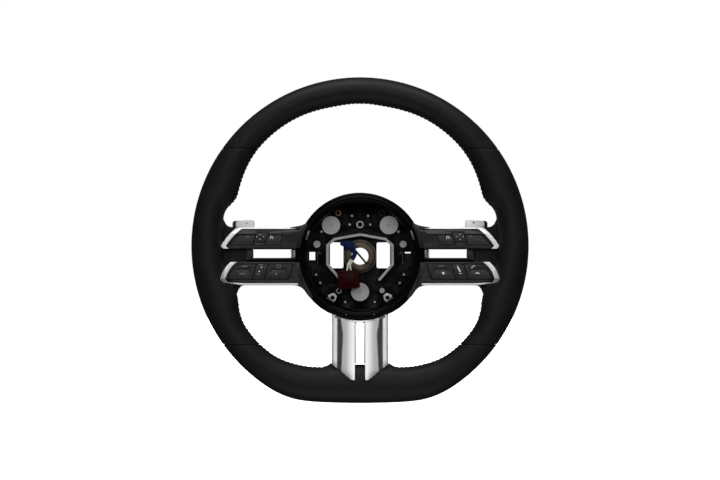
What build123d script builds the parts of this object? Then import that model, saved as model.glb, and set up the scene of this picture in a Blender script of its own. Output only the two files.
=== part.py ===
from build123d import *
import os
from math import atan2, cos, degrees, hypot, radians, sin, sqrt

# Car steering wheel without its airbag: a flat-bottomed leather rim on a cast armature,
# twin-deck control spokes, a bright split lower spoke and a pair of shift paddles.
# Drawn as the driver sees it, in millimetres: x to the right, y up, z towards the driver,
# with the steering axis at x = y = 0 and the steering column's seat at z = 0.
# Each piece is turned upright when it is written, so the driver then looks along +Y.

# Rim
RIM_RADIUS = 185.0  # outer edge of the round part
RIM_RISE = 11.6  # rim centre above the steering axis
FLAT_CUT = 12.6  # depth of the flattened bottom inside the full circle
FLAT_RADIUS = 900.0  # slight crown of the flattened bottom
CORNER_RADIUS = 97.5  # blend from the round part into the flat
RIM_FORWARD = 55.0  # middle of the rim in front of the column seat
RIM_DEPTH = 35.0  # grip section from front to back
UPPER_SEAM_Y = 118.0  # sewn joints between the four leather-covered grips
LOWER_SEAM_Y = -96.2
SEAM_GAP = 0.3  # opening of a sewn joint
SECTION_POINTS = 12  # guide points round a grip section

# Radial width of the grip, from the top to the spoke: slim rim, thumb swell, thumb notch, spoke
TOP_ANGLES = (
    0, 4, 18, 36, 44, 52, 60, 66,
    69, 72, 75, 78, 84, 88, 90,
)
TOP_GRIP = (
    29.0, 29.0, 29.0, 29.1, 30.2, 32.4, 36.0, 38.9,
    39.3, 36.4, 33.0, 32.2, 33.0, 33.7, 34.0,
)
# The same from the spoke down to the flat bottom
BOTTOM_ANGLES = (
    90, 92, 100, 108, 113, 117, 122, 130,
    137, 143, 150, 157, 164, 172, 177, 180,
)
BOTTOM_GRIP = (
    34.0, 34.3, 36.0, 39.6, 39.4, 35.8, 32.6, 31.2,
    31.5, 32.7, 36.3, 38.8, 39.8, 41.4, 42.4, 42.6,
)

# Cast armature
RING_INSET = 16.0  # outer edge of the rim to the middle of the cast ring
RING_SETBACK = 2.5  # cast ring behind the middle of the rim
RING_WIDTH = 14.0
RING_DEPTH = 11.0
RING_WALL = 3.5
FLOOR_CLEAR = 0.4  # hub floor to the gloss ring round it
FLOOR_BACK = 10.0
FLOOR_THICK = 6.0
ARM_WIDTH = 11.0
ARM_THICK = 5.0
UPPER_ARM_Y = 20.0
LOWER_ARM_Y = -17.5
LOWER_SPOKE_ARM_X = 15.0
LOWER_SPOKE_ARM_WIDTH = 9.0
BOSS_RADIUS = 18.5
RIDGE_HEIGHT = 8.0
RIDGE_WIDTH = 2.8
PAD_RADIUS = 10.2
PAD_HEIGHT = 4.0
WINDOW_WIDTH = 15.0
WINDOW_HEIGHT = 28.8
WINDOW_X = 26.0
SLOT_WIDTH = 6.6
SLOT_HEIGHT = 9.0
SLOT_X = 53.2
SLOT_Y = 0.2
SLOT_CLEAR = 1.5  # hub slot to the opening behind it in the rear cover

# Steel hub insert that sits on the column
BORE_RADIUS = 9.5
INSERT_RADIUS = 16.5
INSERT_LENGTH = 26.0

# Spoke root, control decks and bright trim
ROOT_BACK = 37.0
ROOT_FRONT = 47.0
SPOKE_ROOT = 59.0  # rim edge to the end of the leather on the spoke
ROOT_CLEAR = 0.6  # leather to the rear cover
DECK_GAP = 0.4  # deck to its leather seat and to the hub ring
DECK_DEPTH = 12.6
DECK_WALL = 1.8
DECK_FRONT_WALL = 2.4
SPOKE_GRIP = 32.4  # rim edge to the tips of the bright trim
UPPER_DECK_LOW = 8.6
UPPER_DECK_TOP = 30.4
LOWER_DECK_TOP = -6.0
LOWER_DECK_LOW = -29.3
BRIGHT_STRIP = 1.6  # bright edge along the top of the upper deck
BRIGHT_LIP = 2.4  # bright lip under the lower deck
BRIGHT_END = 5.6  # bright end cap across a deck, measured along x
BRIGHT_PROUD = 0.9
DECK_SLANT = 17.5  # how far the outer end of a deck leans over its height
DECK_BEVEL = 5.4  # height of the sloping front edge
DECK_BEVEL_DROP = 4.0
BROW_Y = 24.2  # lower edge of the upper deck's brow
BROW_STEP = 1.8  # keys stand back from the brow
BROW_TURN = 5.8  # gloss ring to the bend where the brow runs out
SILL = 3.4  # sloping edge below the upper deck's keys
FLARE_RADIUS = 8.0  # fillet between a deck and the hub ring

# Keys in the decks
KEY_GAP = 0.45
KEY_PROUD = 0.6
KEY_THICK = 3.4
KEY_SLANT = 0.3  # lean of the splits between keys
UPPER_KEY_START = 15.8  # gloss ring to the first key
LOWER_KEY_START = 5.8
KEY_SPLIT = 6.75  # middle of the key row to the split before the middle pad
PAD_WIDTH = 13.5
KEY_MARGIN = 2.6
UPPER_KEY_LOW = 12.6
UPPER_KEY_TOP = 23.6
LOWER_KEY_LOW = -25.2
LOWER_KEY_TOP = -8.2
PAD_LOW = 15.4  # the upper deck's middle pad reaches into the brow
PAD_TOP = 26.4
PIVOT_RADIUS = 1.2
PIVOT_CLEAR = 0.06
KEY_PUSH = 0.6  # travel of a push key
ROCKER_REACH = 5.5  # rocker pivot to its plungers
BOARD_THICK = 1.6
DOME_HEIGHT = 2.0
DOME_RADIUS = 2.2
STEM_RADIUS = 1.5

# Gloss hub ring
RING_OUTER = 70.2
RING_FRONT = 50.5
RING_BACK = 44.0
RING_SHELL = 2.3
HUB_LIP = 11.6  # outer edge of the ring to its inner wall
HUB_WALL_BACK = 15.5
ARM_CLEAR = 0.6  # arms to the plastic they pass through

# Lower spoke trim
BLADE_SLOT = 11.0  # opening between the two blades
BLADE_WIDTH = 62.0  # across both blades
BLADE_TOP_Y = -71.8  # top of the opening
BLADE_TIP_RISE = 26.4  # flat bottom up to the blade tips
BLADE_SHOULDER_RISE = 43.2  # flat bottom up to the blade shoulders
BLADE_TIP_WIDTH = 3.8
BLADE_BASE = 43.5  # depth of the flange where it leaves the hub
BLADE_RISE = 0.28  # forward lean towards the rim
BLADE_SHELL = 2.4
BLADE_CROWN = 8.0
BLADE_SKIRT = 3.0
BLADE_START_Y = -58.0
LINER_WALL = 1.0
LINER_CLEAR = 0.4  # frame of the opening to the leather below it
LINER_BACK = 34.0
LINER_FRONT = 52.0

# Rear cover
COVER_INSET = 4.2  # bowl inside the outer edge of the gloss ring
COVER_BACK = -10.0
COVER_WALL = 2.4
COVER_OPENING = 44.0
GUSSET_BACK = 4.0  # back of the wings beside the bowl
GUSSET_REACH = 16.0  # thin part of the wings to the paddle hinge
TRAY_CLEAR = 0.2  # front of the cover behind the decks' seat
TRAY_END_WALL = 5.9  # outer end of the see-through gap to the end of the cover
GAP_START = 5.2  # gloss ring to the see-through gap between the decks
GAP_LOW = -1.7
GAP_TOP = 7.7

# Shift paddles
PADDLE_PIVOT_REACH = 21.4  # paddle hinge to the outer end of the rear cover
PADDLE_DROP = 8.6  # hinge behind the back of the spoke
PADDLE_START = 13.0  # hinge to the silver face
PADDLE_WIDTH = 24.4
PADDLE_NOTCH = 3.4  # set-back of the inner edge behind the gap between the decks
PADDLE_EDGE = 3.4  # black edge beside the silver face
PADDLE_TOP_Y = 40.4
PADDLE_LOW_Y = -16.0
PADDLE_CORE = 2.6
PADDLE_CAP = 2.0
PIN_RADIUS = 1.5
PIN_CLEAR = 0.05
BARREL_RADIUS = 3.2
EAR_THICK = 4.0
EAR_LOW_Y = 10.0
EAR_TOP_Y = 30.0

# Screws and small fittings
SCREW_RADIUS = 1.9
SCREW_HEAD_RADIUS = 3.3
SCREW_BITE = 7.0  # length of thread in the post
SCREW_HEAD = 2.2
HOUSING_SCREW_REACH = 10.8  # gloss ring to the screws that hold the decks
SCREW_BOSS_RADIUS = 3.4
COVER_SCREW_CIRCLE = 51.0
WIRE_RADIUS = 1.0
SPRING_WIRE_RADIUS = 0.6

# Worked out from the values above
FLAT_DROP = RIM_RADIUS - FLAT_CUT
RIM_LOW_Y = RIM_RISE - FLAT_DROP
RING_X = RIM_RADIUS - RING_INSET
HUB_WALL_RADIUS = RING_OUTER - HUB_LIP
FLOOR_RADIUS = HUB_WALL_RADIUS - FLOOR_CLEAR
COVER_RADIUS = RING_OUTER - COVER_INSET
HOUSING_SCREW_X = RING_OUTER + HOUSING_SCREW_REACH
UPPER_KEY_INNER_X = RING_OUTER + UPPER_KEY_START
LOWER_KEY_INNER_X = RING_OUTER + LOWER_KEY_START
KEY_ROW_END_X = RIM_RADIUS - SPOKE_GRIP - DECK_SLANT - KEY_MARGIN
KEY_SPLIT_X = (UPPER_KEY_INNER_X + KEY_ROW_END_X) / 2 - KEY_SPLIT
PAD_SPLIT_X = KEY_SPLIT_X + PAD_WIDTH
BROW_TURN_X = RING_OUTER + BROW_TURN
GAP_INNER_X = RING_OUTER + GAP_START
ROOT_END_X = RIM_RADIUS - SPOKE_ROOT
TRAY_END_X = ROOT_END_X - ROOT_CLEAR
PADDLE_PIVOT_X = TRAY_END_X - PADDLE_PIVOT_REACH
GUSSET_END_X = PADDLE_PIVOT_X - GUSSET_REACH
PADDLE_INNER_X = PADDLE_PIVOT_X + PADDLE_START
PADDLE_OUTER_X = PADDLE_INNER_X + PADDLE_WIDTH
PADDLE_CAP_OUTER_X = PADDLE_OUTER_X - PADDLE_EDGE
TRAY_BACK = ROOT_BACK - COVER_WALL
TRAY_FRONT = ROOT_FRONT - TRAY_CLEAR
GAP_OUTER_X = TRAY_END_X - TRAY_END_WALL
BLADE_TIP_Y = RIM_LOW_Y + BLADE_TIP_RISE
BLADE_SHOULDER_Y = RIM_LOW_Y + BLADE_SHOULDER_RISE
PADDLE_PIVOT_Z = TRAY_BACK - PADDLE_DROP
FLOOR = FLOOR_BACK + FLOOR_THICK
DECK_BACK = ROOT_FRONT + DECK_GAP
DECK_FRONT = DECK_BACK + DECK_DEPTH
DECK_END = RIM_RADIUS - SPOKE_GRIP
ARM_Z = (ROOT_BACK + ROOT_FRONT) / 2
RIDGE_FRONT = FLOOR + RIDGE_HEIGHT
PIVOT_Z = DECK_FRONT + KEY_PROUD - KEY_THICK - DECK_FRONT_WALL - PIVOT_RADIUS - 0.1
BOARD_BACK = DECK_BACK + 0.6
BOARD_FRONT = BOARD_BACK + BOARD_THICK
DOME_TOP = BOARD_FRONT + DOME_HEIGHT
ARM_BACK = ARM_Z - ARM_THICK / 2
ARM_FRONT = ARM_Z + ARM_THICK / 2
RING_Z = RIM_FORWARD - RING_SETBACK
PADDLE_CORE_BACK = PADDLE_PIVOT_Z - PADDLE_CORE / 2
PADDLE_CORE_FRONT = PADDLE_PIVOT_Z + PADDLE_CORE / 2
FAR = 400.0  # larger than the part, for cutting blocks


# Shared helpers


def slab(sketch, back, front):
    """A flat outline, extruded from one depth to another."""
    return extrude(Pos(0, 0, back) * sketch, front - back)


def rod(x, y, radius, back, front):
    """A cylinder along the steering axis."""
    return slab(Pos(x, y) * Circle(radius), back, front)


def plate(x_low, x_high, y_low, y_high):
    """A rectangle by its edges."""
    return Pos((x_low + x_high) / 2, (y_low + y_high) / 2) * Rectangle(x_high - x_low, y_high - y_low)


def block(x_low, x_high, y_low, y_high, back, front):
    """A box by its faces."""
    return slab(plate(x_low, x_high, y_low, y_high), back, front)


def face(*edges):
    """A flat outline from joined edges."""
    return make_face(Wire(edges))


def turned(points):
    """A ring turned round the steering axis from (radius, depth) points."""
    return revolve(make_face(Plane.XZ * Polyline(*points, close=True)), Axis.Z)


def both_sides(part):
    """A piece and its mirror image across the wheel, as one."""
    return part + mirror(part, Plane.YZ)


# Rim outline


def corner_centre():
    """Centre of the blend between the round part and the flat, on the right."""
    flat_y = RIM_LOW_Y + FLAT_RADIUS
    round_reach = RIM_RADIUS - CORNER_RADIUS
    flat_reach = FLAT_RADIUS - CORNER_RADIUS
    y = (RIM_RISE**2 - flat_y**2 - round_reach**2 + flat_reach**2) / (2 * (RIM_RISE - flat_y))
    return sqrt(round_reach**2 - (y - RIM_RISE) ** 2), y


CORNER_X, CORNER_Y = corner_centre()
FLAT_Y = RIM_LOW_Y + FLAT_RADIUS
BLEND_START = degrees(atan2(CORNER_Y - RIM_RISE, CORNER_X))
BLEND_END = degrees(atan2(CORNER_Y - FLAT_Y, CORNER_X))


def rim_reach(angle):
    """Rim centre to the outer edge, at an angle from the top."""
    turn = radians(abs(angle))
    tangent_x = FLAT_RADIUS * cos(radians(BLEND_END))
    tangent_y = FLAT_Y + FLAT_RADIUS * sin(radians(BLEND_END)) - RIM_RISE
    if abs(angle) <= 90 - BLEND_START:
        return RIM_RADIUS
    if abs(angle) <= 90 - degrees(atan2(tangent_y, tangent_x)):
        centre_x, centre_y, radius = CORNER_X, CORNER_Y - RIM_RISE, CORNER_RADIUS
    else:
        centre_x, centre_y, radius = 0.0, FLAT_Y - RIM_RISE, FLAT_RADIUS
    along = centre_x * sin(turn) + centre_y * cos(turn)
    return along + sqrt(along**2 - centre_x**2 - centre_y**2 + radius**2)


def grip_section(angle, width):
    """Oval across the rim at an angle from the top."""
    turn = radians(angle)
    outward = Vector(sin(turn), cos(turn), 0)
    onward = Vector(cos(turn), -sin(turn), 0)
    centre = Vector(0, RIM_RISE, RIM_FORWARD) + outward * (rim_reach(angle) - width / 2)
    across, depth = width / 2, RIM_DEPTH / 2
    turns = [radians(360 * step / SECTION_POINTS) for step in range(SECTION_POINTS)]
    oval = Spline(*[(across * cos(turn), depth * sin(turn)) for turn in turns], periodic=True)
    return Plane(centre, x_dir=outward, z_dir=onward) * make_face(oval)


def rim_solid():
    """The whole rim: two lofts on the right, above and below the spoke, and their mirror image."""
    upper = loft([grip_section(angle, width) for angle, width in zip(TOP_ANGLES, TOP_GRIP)])
    lower = loft([grip_section(angle, width) for angle, width in zip(BOTTOM_ANGLES, BOTTOM_GRIP)])
    return both_sides(upper + lower)


def spoke_root():
    """Leather-covered root of the right-hand spoke, with its thumb cove above and its fillet below."""
    rim_x = RING_X
    cove_x, fillet_x = DECK_END - 6.2, DECK_END - 21.0
    top, low = UPPER_DECK_TOP + BRIGHT_STRIP + DECK_GAP, LOWER_DECK_LOW - BRIGHT_LIP
    outline = Polyline(
        (ROOT_END_X, top),
        (cove_x, top),
        (cove_x + 6.0, top + 13.0),
        (rim_x, top + 22.0),
        (rim_x, low + 6.0),
        (rim_x - 16.0, low - 26.0),
        (fillet_x + 6.0, low - 14.0),
        (fillet_x, low),
        (ROOT_END_X, low),
        close=True,
    )
    sketch = make_face(outline)
    coves = [v for v in sketch.vertices() if hypot(v.X - cove_x, v.Y - top) < 0.1]
    coves += [v for v in sketch.vertices() if hypot(v.X - fillet_x, v.Y - low) < 0.1]
    root = slab(fillet(coves, FLARE_RADIUS), ROOT_BACK, ROOT_FRONT)
    ends = root.faces().sort_by(Axis.Z)[0].edges().filter_by(lambda e: abs(e.center().Y) > abs(low) + 4)
    return chamfer(ends, 3.0)


# Armature


def ring_piece(centre_x, centre_y, radius, start, sweep_angle):
    """One arc of the cast ring, a channel open at the back."""
    channel = Rectangle(RING_WIDTH, RING_DEPTH)
    groove = Rectangle(RING_WIDTH - 2 * RING_WALL, RING_DEPTH - RING_WALL)
    section = channel - Pos(0, -RING_WALL / 2) * groove
    turn = radians(start)
    outward = Vector(cos(turn), sin(turn), 0)
    middle = Vector(centre_x, centre_y, RING_Z) + outward * (radius - RING_INSET)
    flat = Plane(middle, x_dir=outward, z_dir=Vector(sin(turn), -cos(turn), 0))
    return revolve(flat * section, Axis((centre_x, centre_y, 0), (0, 0, 1)), sweep_angle)


def cast_ring():
    """The ring inside the rim: round part, two blends and the flat."""
    ring = ring_piece(0, RIM_RISE, RIM_RADIUS, BLEND_START, 180 - 2 * BLEND_START)
    ring += ring_piece(CORNER_X, CORNER_Y, CORNER_RADIUS, BLEND_END, BLEND_START - BLEND_END)
    ring += ring_piece(-CORNER_X, CORNER_Y, CORNER_RADIUS, 180 - BLEND_START, BLEND_START - BLEND_END)
    return ring + ring_piece(0, FLAT_Y, FLAT_RADIUS, -180 - BLEND_END, 180 + 2 * BLEND_END)


def side_arm(y):
    """A right-hand arm from the hub floor out to the ring."""
    edge = FLOOR_RADIUS
    outline = Polyline(
        (edge - 18.2, FLOOR_BACK),
        (edge - 0.2, FLOOR_BACK),
        (HOUSING_SCREW_X - 4.0, ARM_BACK),
        (RING_X - 19, ARM_BACK),
        (RING_X, RING_Z - 3),
        (RING_X, RING_Z + 3),
        (RING_X - 21, ARM_FRONT),
        (HOUSING_SCREW_X - 8.0, ARM_FRONT),
        (edge - 4.2, FLOOR),
        (edge - 18.2, FLOOR),
        close=True,
    )
    return Pos(0, y, 0) * extrude(Plane.XZ * make_face(outline), ARM_WIDTH / 2, both=True)


def lower_arm():
    """A right-hand arm from the hub floor down to the ring."""
    ring_y = RIM_LOW_Y + RING_INSET
    edge = FLOOR_RADIUS
    back, front = BLADE_BASE - 8.5, BLADE_BASE - 3.9
    outline = Polyline(
        (18.2 - edge, FLOOR_BACK),
        (2.2 - edge, FLOOR_BACK),
        (-19.8 - edge, back),
        (ring_y + 24.8, back),
        (ring_y, RING_Z - 4),
        (ring_y, RING_Z + 2),
        (ring_y + 25.8, front),
        (-16.8 - edge, front),
        (5.2 - edge, FLOOR),
        (18.2 - edge, FLOOR),
        close=True,
    )
    bar = extrude(Plane.YZ * make_face(outline), LOWER_SPOKE_ARM_WIDTH / 2, both=True)
    return Pos(LOWER_SPOKE_ARM_X, 0, 0) * bar


def ridge():
    """Raised frame round the hub, open at the bottom."""
    half = ((0, 25.6), (29, 20.4), (37.5, 13.0), (37.5, -9.4), (22.6, -26.9))
    left = [(-x, y) for x, y in reversed(half[1:])]
    outline = make_face(Polyline(*half, *left, close=True))
    band = outline - offset(outline, -RIDGE_WIDTH)
    return slab(band - plate(-20.5, 20.5, -40, -20), FLOOR, RIDGE_FRONT)


PAD_PLACES = ((-32.2, 34.6), (32.2, 34.6), (0, -39.6))
INSERT_PLACES = ((-24.3, 48.2), (24.3, 48.2))
COVER_SCREW_ANGLES = (30, 150, 270)
PIP_PLACES = ((11.5, 35.3), (48.8, -20.4), (44.2, -29.6), (16.3, -50.9), (42.8, 27.4), (9.0, 45.0))


def cover_screw_places():
    """Centres of the three screws that hold the rear cover."""
    turns = [radians(angle) for angle in COVER_SCREW_ANGLES]
    return [(COVER_SCREW_CIRCLE * cos(turn), COVER_SCREW_CIRCLE * sin(turn)) for turn in turns]


def make_armature():
    """The casting, with the steel insert's seat, pads, ridge, windows and screw holes."""
    body = rod(0, 0, FLOOR_RADIUS, FLOOR_BACK, FLOOR) + cast_ring()
    for arm in (side_arm(UPPER_ARM_Y), side_arm(LOWER_ARM_Y), lower_arm()):
        body += both_sides(arm)
    body += rod(0, 0, BOSS_RADIUS, FLOOR_BACK - 4, FLOOR + 2)
    window = fillet((Pos(WINDOW_X, 1.0) * Rectangle(WINDOW_WIDTH, WINDOW_HEIGHT)).vertices(), 2.0)
    slot = Pos(SLOT_X, SLOT_Y) * Rectangle(SLOT_WIDTH, SLOT_HEIGHT)
    clear_boss = rod(0, 0, BOSS_RADIUS, 0, FAR)
    body -= both_sides(slab(window, 0, FLOOR + 1) - clear_boss)
    body -= both_sides(slab(slot, 0, FLOOR + 1))
    body += ridge()
    for x, y in PAD_PLACES:
        body += rod(x, y, PAD_RADIUS, FLOOR, FLOOR + PAD_HEIGHT)
    for x, y in INSERT_PLACES:
        body += rod(x, y, 4.6, FLOOR, FLOOR + 3)
        body -= rod(x, y, 3.4, 0, FAR)
    body += rod(0, 35.3, 4.1, FLOOR, FLOOR + 3) - rod(0, 35.3, 2.6, FLOOR, FAR)
    body += rod(-23.5, -38.5, 3.0, FLOOR, FLOOR + 3) - rod(-23.5, -38.5, 1.9, FLOOR, FAR)
    body += rod(24.6, -38.2, 2.9, FLOOR, FLOOR + 2)
    body += both_sides(rod(48, 13.4, 3.9, FLOOR, FLOOR + 1.5))
    for x, y in PIP_PLACES:
        body += both_sides(rod(x, y, 1.35, FLOOR, FLOOR + 1.2))
    for x, y in cover_screw_places():
        body -= rod(x, y, SCREW_RADIUS, 0, FLOOR_BACK + 4)
    for y in (UPPER_ARM_Y, LOWER_ARM_Y):
        body -= both_sides(rod(HOUSING_SCREW_X, y, SCREW_RADIUS, 0, ARM_FRONT + 1))
    return body - rod(0, 0, INSERT_RADIUS, 0, FAR)


def make_insert():
    """Steel bush on the steering column."""
    bush = rod(0, 0, INSERT_RADIUS, 0, INSERT_LENGTH) - rod(0, 0, BORE_RADIUS, 0, INSERT_LENGTH)
    rims = bush.edges().filter_by(GeomType.CIRCLE).filter_by(lambda e: e.radius > INSERT_RADIUS - 0.1)
    return chamfer(rims, 1.0)


# Control decks, drawn for the right-hand side


def flare(edge_y, side):
    """Fillet between a deck's long edge and the hub ring, above or below."""
    centre_y = edge_y + side * FLARE_RADIUS
    reach = RING_OUTER + DECK_GAP + FLARE_RADIUS
    centre_x = sqrt(reach**2 - centre_y**2)
    ratio = (RING_OUTER + DECK_GAP) / reach
    corner = Polyline(
        (centre_x * ratio, centre_y * ratio),
        (centre_x, edge_y),
        (centre_x, edge_y - side * 3.0),
        (centre_x * ratio - 3.0, edge_y - side * 3.0),
        close=True,
    )
    return make_face(corner) - Pos(centre_x, centre_y) * Circle(FLARE_RADIUS), centre_x


def upper_outline(bright):
    """Upper deck in the driver's view, with or without its bright edge."""
    end = DECK_END if bright else DECK_END - BRIGHT_END
    top = UPPER_DECK_TOP + (BRIGHT_STRIP if bright else 0.0)
    low = UPPER_DECK_LOW
    shoulder = end - DECK_SLANT
    tip = (end, low + 2.6)
    bulge = ((end + shoulder) / 2 + 0.9, (low + 2.6 + top) / 2 + 0.8)
    foot = Polyline((50, top), (50, low), (end - 3.0, low), tip)
    sketch = face(*foot.edges(), ThreePointArc(tip, bulge, (shoulder, top)), Line((shoulder, top), (50, top)))
    bend = [v for v in sketch.vertices() if hypot(v.X - shoulder, v.Y - top) < 0.1]
    return fillet(bend, 6.0)


def lower_outline(bright):
    """Lower deck in the driver's view, with or without its bright edge."""
    end = DECK_END + 0.5 if bright else DECK_END - BRIGHT_END + 0.5
    low = LOWER_DECK_LOW - (BRIGHT_LIP if bright else 0.0)
    top = LOWER_DECK_TOP
    start = end - (11.4 if bright else 12.6)
    tip = (end, LOWER_DECK_LOW + 4.6)
    heel = (end - 2.2, LOWER_DECK_LOW + 0.9)
    bulge = (start + 0.62 * (end - start) + 0.6, (top + tip[1]) / 2 + 0.4)
    rest = Polyline(tip, heel, (end - 24.0, low), (50, low), (50, top), (start, top))
    return face(ThreePointArc((start, top), bulge, tip), *rest.edges())


def bevel_block(start_y, side, level):
    """Block that slopes off the long front edge of a deck."""
    drop = DECK_BEVEL_DROP / DECK_BEVEL
    reach = 30.0
    outline = Polyline(
        (start_y, level),
        (start_y + side * reach, level - reach * drop),
        (start_y + side * reach, level + reach),
        (start_y, level + reach),
        close=True,
    )
    return extrude(Plane.YZ * make_face(outline), FAR)


def brow_block():
    """Block that sets the upper deck's key area back below its brow."""
    outline = Polyline(
        (40, BROW_Y + 5.6),
        (BROW_TURN_X - 12, BROW_Y + 5.6),
        (BROW_TURN_X, BROW_Y),
        (FAR, BROW_Y),
        (FAR, -50),
        (40, -50),
        close=True,
    )
    return slab(make_face(outline), DECK_FRONT - BROW_STEP, FAR)


def beyond(split_x, middle_y):
    """Everything outward of a leaning split between two keys."""
    reach = 30.0
    lean = KEY_SLANT * reach
    outline = Polyline(
        (split_x - lean, middle_y + reach),
        (FAR, middle_y + reach),
        (FAR, middle_y - reach),
        (split_x + lean, middle_y - reach),
        close=True,
    )
    return make_face(outline)


class Deck:
    """One right-hand control deck: outlines, key fields and depths."""

    def __init__(self, upper):
        self.upper = upper
        self.side = 1 if upper else -1
        outline = upper_outline if upper else lower_outline
        self.panel, self.whole = outline(False), outline(True)
        self.edge_y = UPPER_DECK_TOP + BRIGHT_STRIP if upper else LOWER_DECK_LOW - BRIGHT_LIP
        self.bevel_y = UPPER_DECK_TOP - DECK_BEVEL if upper else LOWER_DECK_LOW + DECK_BEVEL
        self.key_low = UPPER_KEY_LOW if upper else LOWER_KEY_LOW
        self.key_top = UPPER_KEY_TOP if upper else LOWER_KEY_TOP
        self.middle = (self.key_low + self.key_top) / 2
        self.arm_y = UPPER_ARM_Y if upper else LOWER_ARM_Y
        self.inner_x = UPPER_KEY_INNER_X if upper else LOWER_KEY_INNER_X
        self.front = DECK_FRONT - BROW_STEP if upper else DECK_FRONT
        self.key_front = self.front + KEY_PROUD
        self.key_back = self.key_front - KEY_THICK - DECK_FRONT_WALL
        self.rib_front = self.key_back - KEY_PUSH - 0.3
        self.flare, self.flare_x = flare(self.edge_y, self.side)
        self.hub = Circle(RING_OUTER + DECK_GAP)
        self.rockers = () if upper else ("inner", "outer")
        inner, split, pad = (beyond(x, self.middle) for x in (self.inner_x, KEY_SPLIT_X, PAD_SPLIT_X))
        inset = offset(self.panel, -KEY_MARGIN)
        field = inset & plate(0, FAR, self.key_low, self.key_top)
        pad_field = inset & plate(0, FAR, PAD_LOW, PAD_TOP) if upper else field
        self.fields = {"inner": (field & inner) - split, "pad": (pad_field & split) - pad, "outer": field & pad}

    def bright(self):
        """Bright strip along the long edge with the wide end cap."""
        strip = self.whole - self.panel - plate(0, self.flare_x, -FAR, FAR)
        front = DECK_FRONT + BRIGHT_PROUD
        return slab(strip, DECK_BACK, front) - bevel_block(self.bevel_y, self.side, front)

    def shell_outline(self):
        """The black panel with its fillet at the hub ring."""
        root = (self.whole & plate(0, self.flare_x, -FAR, FAR)) + self.flare
        return (self.panel + root) - self.hub

    def key_centre(self, name):
        """Middle of a key, where its stem or saddle sits."""
        return self.fields[name].center().X, self.middle

    def housing(self):
        """Panel with hollow back, key openings, ribs, rocker bars and a screw post."""
        body = slab(self.shell_outline(), DECK_BACK, DECK_FRONT) - bevel_block(self.bevel_y, self.side, DECK_FRONT)
        if self.upper:
            body -= brow_block() + bevel_block(UPPER_DECK_LOW + SILL, -1, self.front)
        wall_back = self.front - DECK_FRONT_WALL
        room = offset(self.panel, -DECK_WALL) - Circle(RING_OUTER + DECK_GAP + DECK_WALL)
        band = room & (plate(0, FAR, self.key_low - 1.0, self.key_top + 1.0) + offset(self.fields["pad"], 1.0))
        step = DECK_BACK + DECK_WALL + 3.2
        body -= slab(room, DECK_BACK, step) + slab(band, step, wall_back)
        for field in self.fields.values():
            body -= slab(offset(field, KEY_GAP / 2, kind=Kind.INTERSECTION), step, FAR)
        ribs = Sketch() + [plate(x - 0.7, x + 0.7, -40, 40) for x in (self.inner_x, KEY_SPLIT_X, PAD_SPLIT_X)]
        body += slab(ribs & self.panel, BOARD_FRONT + 0.4, self.rib_front)
        for x in (KEY_SPLIT_X, PAD_SPLIT_X):
            body += rod(x, self.middle + self.side * 2.0, 1.2, BOARD_FRONT, self.rib_front)
        for name in self.rockers:
            body += self.bar(name, PIVOT_RADIUS)
        return body + self.post() - self.shank()

    def post(self):
        """Screw post on the arm, tied to the nearest rib or to the front wall."""
        x, y = HOUSING_SCREW_X, self.arm_y
        if self.upper:
            return rod(x, y, SCREW_BOSS_RADIUS, ARM_FRONT, self.front - DECK_FRONT_WALL + 0.1)
        web = block(self.inner_x, x, y - 1.5, y + 1.5, BOARD_FRONT + 0.4, self.rib_front)
        return rod(x, y, SCREW_BOSS_RADIUS, ARM_FRONT, self.rib_front) + web

    def shank(self):
        """Threaded length of the screw, from the back of the arm into the post."""
        return rod(HOUSING_SCREW_X, self.arm_y, SCREW_RADIUS, ARM_BACK, ARM_FRONT + SCREW_BITE)

    def bar(self, name, radius):
        """Pivot bar of a rocker, from rib to rib or from rib to the end wall."""
        start = self.inner_x if name == "inner" else PAD_SPLIT_X
        stop = KEY_SPLIT_X if name == "inner" else FAR
        long_bar = Pos(start, self.middle, PIVOT_Z) * (Rot(0, 90, 0) * extrude(Circle(radius), stop - start))
        return long_bar & slab(offset(self.panel, -DECK_WALL / 2), 0, FAR)

    def key(self, name):
        """A key cap with its stem, or with the saddle and plungers of a rocker."""
        cap = slab(offset(self.fields[name], -KEY_GAP / 2), self.key_back, self.key_front)
        cap = chamfer(cap.faces().sort_by(Axis.Z)[-1].edges(), 0.3)
        x, y = self.key_centre(name)
        if name not in self.rockers:
            return cap + rod(x, y, STEM_RADIUS, DOME_TOP + KEY_PUSH + 0.1, self.key_back)
        saddle = block(x - 3, x + 3, y - 2.4, y + 2.4, PIVOT_Z - 0.9, self.key_back)
        cap += saddle - self.bar(name, PIVOT_RADIUS + PIVOT_CLEAR)
        for reach in (-ROCKER_REACH, ROCKER_REACH):
            cap += rod(x, y + reach, STEM_RADIUS, DOME_TOP + 0.5, self.key_back)
        return cap

    def board(self):
        """Switch board with a dome under every stem and plunger."""
        room = offset(self.panel, -DECK_WALL - 0.4) & plate(HOUSING_SCREW_X + SCREW_BOSS_RADIUS + 2, FAR, -40, 40)
        body = slab(room, BOARD_BACK, BOARD_FRONT)
        for name in self.fields:
            x, y = self.key_centre(name)
            for reach in (-ROCKER_REACH, ROCKER_REACH) if name in self.rockers else (0,):
                body += rod(x, y + reach, DOME_RADIUS, BOARD_FRONT, DOME_TOP)
        return body

    def seat(self):
        """Space that the deck takes out of the grip."""
        return slab(offset(self.whole, DECK_GAP), ROOT_FRONT, FAR)

    def screw(self):
        """Screw through the arm into the housing's post."""
        head = rod(HOUSING_SCREW_X, self.arm_y, SCREW_HEAD_RADIUS, ARM_BACK - SCREW_HEAD, ARM_BACK)
        return head + self.shank()


# Hub ring, lower spoke and rear cover


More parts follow.
